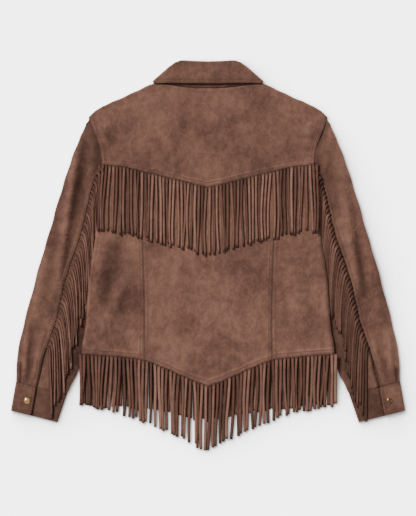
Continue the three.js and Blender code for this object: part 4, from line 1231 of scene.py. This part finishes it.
class Socket:
    """A shader socket that takes plain arithmetic."""

    def __init__(self, graph, output):
        self.graph = graph
        self.output = output

    def maths(self, operation, first, second):
        return self.graph.node("ShaderNodeMath", {0: first, 1: second}, operation=operation)

    def __add__(self, other):
        return self.maths("ADD", self, other)

    def __sub__(self, other):
        return self.maths("SUBTRACT", self, other)

    def __mul__(self, other):
        return self.maths("MULTIPLY", self, other)

    def __rsub__(self, other):
        return self.maths("SUBTRACT", other, self)

    __radd__ = __add__
    __rmul__ = __mul__


class Graph:
    """A material's shader graph."""

    def __init__(self, name):
        self.material = bpy.data.materials.new(name)
        self.material.use_nodes = True
        self.tree = self.material.node_tree
        self.shader = self.tree.nodes["Principled BSDF"]

    def feed(self, target, value):
        if isinstance(value, Socket):
            self.tree.links.new(value.output, target)
        else:
            target.default_value = value

    def node(self, kind, inputs, output=0, **settings):
        node = self.tree.nodes.new(kind)
        for key, value in settings.items():
            setattr(node, key, value)
        for key, value in inputs.items():
            self.feed(node.inputs[key], value)
        return Socket(self, node.outputs[output])

    def place(self, shift=(0, 0, 0)):
        spot = self.node("ShaderNodeTexCoord", {}, output="Object")
        return self.node("ShaderNodeVectorMath", {0: spot, 1: shift}, operation="ADD")

    def noise(self, spot, scale, detail=2.0, roughness=0.5, distortion=0.0):
        inputs = {"Vector": spot, "Scale": scale, "Detail": detail, "Roughness": roughness,
                  "Distortion": distortion}
        return self.node("ShaderNodeTexNoise", inputs)

    def spread(self, value, low, high):
        """Stretches a value so that low and high become 0 and 1."""
        inputs = {"Value": value, "From Min": low, "From Max": high}
        return self.node("ShaderNodeMapRange", inputs, interpolation_type="SMOOTHSTEP")

    def mix(self, share, first, second):
        return self.node("ShaderNodeMix", {0: share, 6: first, 7: second}, output=2,
                         data_type="RGBA")

    def bump(self, height, distance, strength=1.0):
        return self.node("ShaderNodeBump", {"Height": height, "Distance": distance,
                                            "Strength": strength})


def shaded(tone, brightness):
    return tuple(channel * brightness for channel in tone[:3]) + (1,)


# The suede's colours: brushed down, plain and brushed up
SUEDE_DARK = colour(95, 66, 56)
SUEDE_PLAIN = colour(124, 88, 75)
SUEDE_LIGHT = colour(146, 107, 89)
# The colour that painted shade darkens the suede towards
SUEDE_SHADE = colour(36, 21, 17)
CLOUD_SCALE, PATCH_SCALE, NAP_SCALE, GRAIN_SCALE = 9, 75, 620, 1700
CLOUD_SHARE, PATCH_SHARE, NAP_SHARE = 0.42, 0.4, 0.18
DARK_TO_PLAIN, PLAIN_TO_LIGHT = (0.1, 0.6), (0.45, 0.95)
NAP_DEPTH, PATCH_DEPTH = 0.00035, 0.0009
NAP_STRENGTH, PATCH_STRENGTH = 0.8, 0.5
BRUSHED = (1, 0.8, 1)
# How far the painted shade goes towards that colour
SHADE_SHARE = 0.85
SUEDE_ROUGHNESS, NAP_GLOSS = 0.97, 0.1
SUEDE_SHEEN, SHEEN_ROUGHNESS, SHEEN_TINT = 0.22, 0.45, colour(214, 178, 158)
SUEDE_SPECULAR = 0.12


def suede(name, brightness, shift):
    """Soft suede: clouds of brushed nap, small patches and a fine grain; darkened towards a shade
    colour where shade is painted on the mesh, and scaled by a brightness that is partly painted
    shade.
    """
    graph = Graph(name)
    spot = graph.place(shift)
    clouds = graph.spread(graph.noise(spot, CLOUD_SCALE, 2, 0.5, 0.3), 0.25, 0.75)
    brushed = graph.node("ShaderNodeVectorMath", {0: spot, 1: BRUSHED}, operation="MULTIPLY")
    patches = graph.spread(graph.noise(brushed, PATCH_SCALE, 5, 0.72, 0.3), 0.28, 0.72)
    nap = graph.noise(spot, NAP_SCALE, 3, 0.6)
    grain = graph.noise(spot, GRAIN_SCALE, 2, 0.5)
    lit = clouds * CLOUD_SHARE + patches * PATCH_SHARE + nap * NAP_SHARE
    low = graph.mix(graph.spread(lit, *DARK_TO_PLAIN), SUEDE_DARK, SUEDE_PLAIN)
    full = graph.mix(graph.spread(lit, *PLAIN_TO_LIGHT), low, SUEDE_LIGHT)
    # Painted shade, read from the mesh's per-vertex shade attribute
    painted_shade = graph.node("ShaderNodeAttribute", {}, output="Fac", attribute_name="painted_shade")
    with_shade = graph.mix(painted_shade * SHADE_SHARE, full, SUEDE_SHADE)
    # The part's brightness, partly its own tone and partly painted shade
    toned_and_shaded = graph.node("ShaderNodeMix", {0: 1.0, 6: with_shade, 7: (brightness,) * 3 + (1,)},
                        output=2, data_type="RGBA", blend_type="MULTIPLY")
    graph.feed(graph.shader.inputs["Base Color"], toned_and_shaded)
    graph.feed(graph.shader.inputs["Roughness"], SUEDE_ROUGHNESS - NAP_GLOSS * nap)
    broad = graph.bump(patches, PATCH_DEPTH, PATCH_STRENGTH)
    fine = graph.node("ShaderNodeBump", {"Height": nap * 0.7 + grain * 0.3, "Distance": NAP_DEPTH,
                                         "Strength": NAP_STRENGTH, "Normal": broad})
    graph.feed(graph.shader.inputs["Normal"], fine)
    sheen(graph, SUEDE_SHEEN)
    return graph.material


def sheen(graph, weight):
    graph.shader.inputs["Sheen Weight"].default_value = weight
    graph.shader.inputs["Sheen Roughness"].default_value = SHEEN_ROUGHNESS
    graph.shader.inputs["Sheen Tint"].default_value = SHEEN_TINT
    graph.shader.inputs["Specular IOR Level"].default_value = SUEDE_SPECULAR


FRINGE_DARK = colour(34, 20, 16)
FRINGE_PLAIN = colour(104, 72, 60)
FRINGE_LIGHT = colour(150, 110, 94)
FRINGE_CLOUD_SCALE, FRINGE_BASE = 60, 0.28
# How much each strand's tone, the clouds and the nap give, and how deep the painted shade along a
# strand's edges is
TONE_SHARE, FRINGE_CLOUD_SHARE, FRINGE_NAP_SHARE, STRAND_EDGE_SHADE = 0.42, 0.14, 0.2, 0.56
FRINGE_DARK_TO_PLAIN, FRINGE_PLAIN_TO_LIGHT = (0.0, 0.6), (0.5, 0.95)
ROOT_SHADE, FRINGE_SHEEN = 0.8, 0.18


def fringe_suede():
    """The fringe's suede: each strand has its own tone, with painted shade at its root and along its
    edges.
    """
    graph = Graph("fringe_suede")
    spot = graph.place()
    channels = graph.node("ShaderNodeAttribute", {}, output="Color", attribute_name="tone")
    split = graph.tree.nodes.new("ShaderNodeSeparateColor")
    graph.feed(split.inputs[0], channels)
    tone, root, edge = [Socket(graph, split.outputs[k]) for k in (0, 1, 2)]
    clouds = graph.spread(graph.noise(spot, FRINGE_CLOUD_SCALE, 3, 0.6), 0.2, 0.8)
    nap = graph.noise(spot, NAP_SCALE, 3, 0.6)
    lit = tone * TONE_SHARE + clouds * FRINGE_CLOUD_SHARE + nap * FRINGE_NAP_SHARE
    # Painted shade along each strand's edges, standing in for the shade between strands
    lit = lit + FRINGE_BASE - edge * edge * edge * STRAND_EDGE_SHADE
    low = graph.mix(graph.spread(lit, *FRINGE_DARK_TO_PLAIN), FRINGE_DARK, FRINGE_PLAIN)
    full = graph.mix(graph.spread(lit, *FRINGE_PLAIN_TO_LIGHT), low, FRINGE_LIGHT)
    # Painted shade at each strand's root, where it comes out from under the edge
    rooted = graph.mix(root, shaded(FRINGE_DARK, ROOT_SHADE), full)
    graph.feed(graph.shader.inputs["Base Color"], rooted)
    graph.feed(graph.shader.inputs["Roughness"], SUEDE_ROUGHNESS - NAP_GLOSS * nap)
    graph.feed(graph.shader.inputs["Normal"], graph.bump(nap, NAP_DEPTH, NAP_STRENGTH))
    sheen(graph, FRINGE_SHEEN)
    return graph.material


THREAD_SCALE, THREAD_ROUGHNESS = 2400, 0.6
THREAD_DARK, THREAD_LIGHT = colour(84, 56, 44), colour(128, 92, 74)
WEAR_SCALE, BRASS_ROUGHNESS, BRASS_POLISH = 260, 0.46, 0.16


def thread():
    """The stitching's matching thread, a little lighter than the suede."""
    graph = Graph("thread")
    twist = graph.noise(graph.place(), THREAD_SCALE, 1, 0.5)
    dyed = graph.mix(twist, THREAD_DARK, THREAD_LIGHT)
    graph.feed(graph.shader.inputs["Base Color"], dyed)
    graph.shader.inputs["Roughness"].default_value = THREAD_ROUGHNESS
    return graph.material


def brass(name, bright, worn):
    """Brass with a worn, darker patina in random patches."""
    graph = Graph(name)
    wear = graph.spread(graph.noise(graph.place(), WEAR_SCALE, 4, 0.6), 0.35, 0.65)
    graph.feed(graph.shader.inputs["Base Color"], graph.mix(wear, worn, bright))
    graph.feed(graph.shader.inputs["Roughness"], BRASS_ROUGHNESS - BRASS_POLISH * wear)
    graph.shader.inputs["Metallic"].default_value = 1
    return graph.material


# Each part's suede, with its brightness and its own part of the pattern; the brightness is partly
# the part's own tone and partly painted shade, darkest on the sleeves and collar
YOKE_SUEDE = suede("suede_yoke", 0.89, (0, 0, 0))
CENTRE_SUEDE = suede("suede_centre", 0.97, (0.7, 0.2, 0))
SIDE_SUEDE = {-1: suede("suede_side_left", 0.9, (1.3, 0.1, 0)),
              1: suede("suede_side_right", 0.92, (1.9, 0.6, 0))}
SLEEVE_SUEDE = {-1: suede("suede_sleeve_left", 0.77, (2.3, 0.4, 0)),
                1: suede("suede_sleeve_right", 0.8, (2.9, 0.8, 0))}
COLLAR_SUEDE = suede("suede_collar", 0.82, (3.4, 0.3, 0))
FRINGE_SUEDE = fringe_suede()
THREAD = thread()
BRASS = {-1: brass("brass", colour(255, 224, 160), colour(230, 180, 106)),
         1: brass("antique_brass", colour(186, 150, 104), colour(92, 68, 46))}
SIDES = {-1: "left", 1: "right"}


def build_back():
    yoke, centre = yoke_panel(), centre_panel()
    cloth_piece(yoke.mesh(), "back_yoke", YOKE_SUEDE, CLOTH)
    cloth_piece(centre.mesh(), "back_centre", CENTRE_SUEDE, CLOTH)
    yoke_lines = [yoke.seam("bottom", away) for away in YOKE_BAND[2]]
    yoke_lines += [yoke.seam(side, away) for side in ("left", "right") for away in SEAM_BAND[2]]
    stitching("stitches_yoke", yoke_lines, THREAD)
    lines = [centre.seam(side, away) for side in ("left", "right") for away in SEAM_BAND[2]]
    lines += [centre.seam("bottom", away) for away in HEM_BAND[2]]
    for sign, word in SIDES.items():
        panel = side_panel(sign)
        cloth_piece(panel.mesh(), f"back_side_{word}", SIDE_SUEDE[sign], CLOTH)
        lines += [panel.seam("left", away) for away in SEAM_BAND[2]]
        lines += [panel.seam("bottom", away) for away in HEM_BAND[2]]
    stitching("stitches_back", lines, THREAD)


FRONT_SNAPS, FRONT_SNAP_FIRST, FRONT_SNAP_PITCH = 6, 205, 75
SNAP_HOLE, SNAP_REACH = 6.3, 9


def cut_snap_holes(bm):
    """Opens the round holes that the snaps sit in through a front's sheet."""
    for k in range(FRONT_SNAPS):
        centre = Vector((0, FRONT_SNAP_FIRST - FRONT_SNAP_PITCH * k)) * MM
        inside = [face for face in bm.faces
                  if (face.calc_center_median().xy - centre).length < SNAP_HOLE * MM]
        bmesh.ops.delete(bm, geom=inside, context="FACES")
        for vertex in bm.verts:
            away = vertex.co.xy - centre
            if vertex.is_boundary and away.length < SNAP_REACH * MM:
                vertex.co.xy = centre + away.normalized() * SNAP_HOLE * MM


def build_fronts():
    for sign, word in SIDES.items():
        bm = front_panel(sign).mesh()
        if sign < 0:
            cut_snap_holes(bm)
        cloth_piece(bm, f"front_{word}", SIDE_SUEDE[sign], CLOTH)
    for k in range(FRONT_SNAPS):
        centre = (0, FRONT_SNAP_FIRST - FRONT_SNAP_PITCH * k, 0)
        snap(f"front_snap_{k + 1}", SNAP_FLAT, centre, BRASS[-1])


def build_sleeves():
    for sign, word in SIDES.items():
        cloth = SLEEVE_SUEDE[sign]
        cloth_piece(sleeve_mesh(sign, "outer"), f"sleeve_upper_{word}", cloth, CLOTH)
        cloth_piece(sleeve_mesh(sign, "inner"), f"sleeve_under_{word}", cloth, CLOTH)
        cloth_piece(cuff_mesh(sign), f"cuff_{word}", cloth, CUFF_CLOTH)
        stitching(f"stitches_sleeve_{word}", sleeve_lines(sign) + cuff_lines(sign), THREAD)
        centre = (sign * SNAP_X, SNAP_Y, CUFF_FLAP_TOP)
        snap(f"cuff_snap_{word}", SNAP_DOME, centre, BRASS[sign])


def build_collar():
    cloth_piece(stand_panel().mesh(), "collar_stand", COLLAR_SUEDE, CLOTH)
    cloth_piece(collar_mesh(), "collar_fall", COLLAR_SUEDE, CLOTH)
    stitching("stitches_collar", collar_lines(), THREAD)


def build_fringes():
    cloth_piece(yoke_fringe(), "yoke_fringe", FRINGE_SUEDE, FRINGE_CLOTH)
    cloth_piece(back_hem_fringe(), "hem_fringe_back", FRINGE_SUEDE, FRINGE_CLOTH)
    for sign, word in SIDES.items():
        cloth_piece(front_hem_fringe(sign), f"hem_fringe_front_{word}", FRINGE_SUEDE,
                    FRINGE_CLOTH)
        cloth_piece(sleeve_fringe(sign), f"sleeve_fringe_{word}", FRINGE_SUEDE, FRINGE_CLOTH)


# The floor, the lights and the camera, in metres
FLOOR_SIZE, FLOOR_ROUGHNESS = 6, 0.9
FLOOR_COLOUR, FLOOR_GLOW = (0.92, 0.92, 0.92, 1), 4
# How far the shadow painted into the floor's glow reaches, and how deep it is
SHADOW_REACH, SHADOW_DEPTH = 0.09, 4.5
KEY_DIRECTION, KEY_SOFTNESS, KEY_STRENGTH = (-1.15, 1.2, 1.0), math.radians(20), 4.9
WORLD_COLOUR, WORLD_STRENGTH = (1, 1, 1, 1), 0.36
CAMERA_HEIGHT, CAMERA_Y, FRAME_HEIGHT, SENSOR = 3.5, -0.0045, 1.032, 36


def pale_floor():
    """A pale floor that glows where it is open to the key, so that a soft shadow is painted into its
    glow.
    """
    bm = bmesh.new()
    bmesh.ops.create_grid(bm, x_segments=1, y_segments=1, size=FLOOR_SIZE)
    mesh = bpy.data.meshes.new("floor")
    bm.to_mesh(mesh)
    bm.free()
    floor = bpy.data.objects.new("floor", mesh)
    bpy.context.scene.collection.objects.link(floor)
    graph = Graph("pale_floor")
    graph.shader.inputs["Base Color"].default_value = FLOOR_COLOUR
    graph.shader.inputs["Roughness"].default_value = FLOOR_ROUGHNESS
    towards_key = graph.node("ShaderNodeCombineXYZ", dict(zip("XYZ", KEY_DIRECTION)))
    open_sky = graph.node("ShaderNodeAmbientOcclusion",
                          {"Distance": SHADOW_REACH, "Normal": towards_key}, output="AO")
    lit = graph.node("ShaderNodeMath", {0: open_sky, 1: SHADOW_DEPTH}, operation="POWER")
    glow = graph.mix(lit, (0, 0, 0, 1), (1, 1, 1, 1))
    # The floor glows like a lamp, with the painted shadow in its glow
    graph.feed(graph.shader.inputs["Emission Color"], glow)
    graph.shader.inputs["Emission Strength"].default_value = FLOOR_GLOW
    mesh.materials.append(graph.material)


def light_scene():
    key = bpy.data.lights.new("key", "SUN")
    key.angle = KEY_SOFTNESS
    key.energy = KEY_STRENGTH
    lamp = bpy.data.objects.new("key", key)
    lamp.location = KEY_DIRECTION
    lamp.rotation_euler = (-Vector(KEY_DIRECTION)).to_track_quat("-Z", "Y").to_euler()
    bpy.context.scene.collection.objects.link(lamp)
    world = bpy.context.scene.world or bpy.data.worlds.new("world")
    bpy.context.scene.world = world
    world.use_nodes = True
    background = world.node_tree.nodes["Background"]
    background.inputs["Color"].default_value = WORLD_COLOUR
    background.inputs["Strength"].default_value = WORLD_STRENGTH


def place_camera():
    camera = bpy.context.scene.camera
    if camera is None:
        camera = bpy.data.objects.new("camera", bpy.data.cameras.new("camera"))
        bpy.context.scene.collection.objects.link(camera)
        bpy.context.scene.camera = camera
    camera.location = (0, CAMERA_Y, CAMERA_HEIGHT)
    camera.rotation_euler = (0, 0, 0)
    camera.data.type = "PERSP"
    camera.data.sensor_width = SENSOR
    camera.data.lens = SENSOR * CAMERA_HEIGHT / FRAME_HEIGHT


build_back()
build_fronts()
build_sleeves()
build_collar()
build_fringes()
pale_floor()
light_scene()
place_camera()
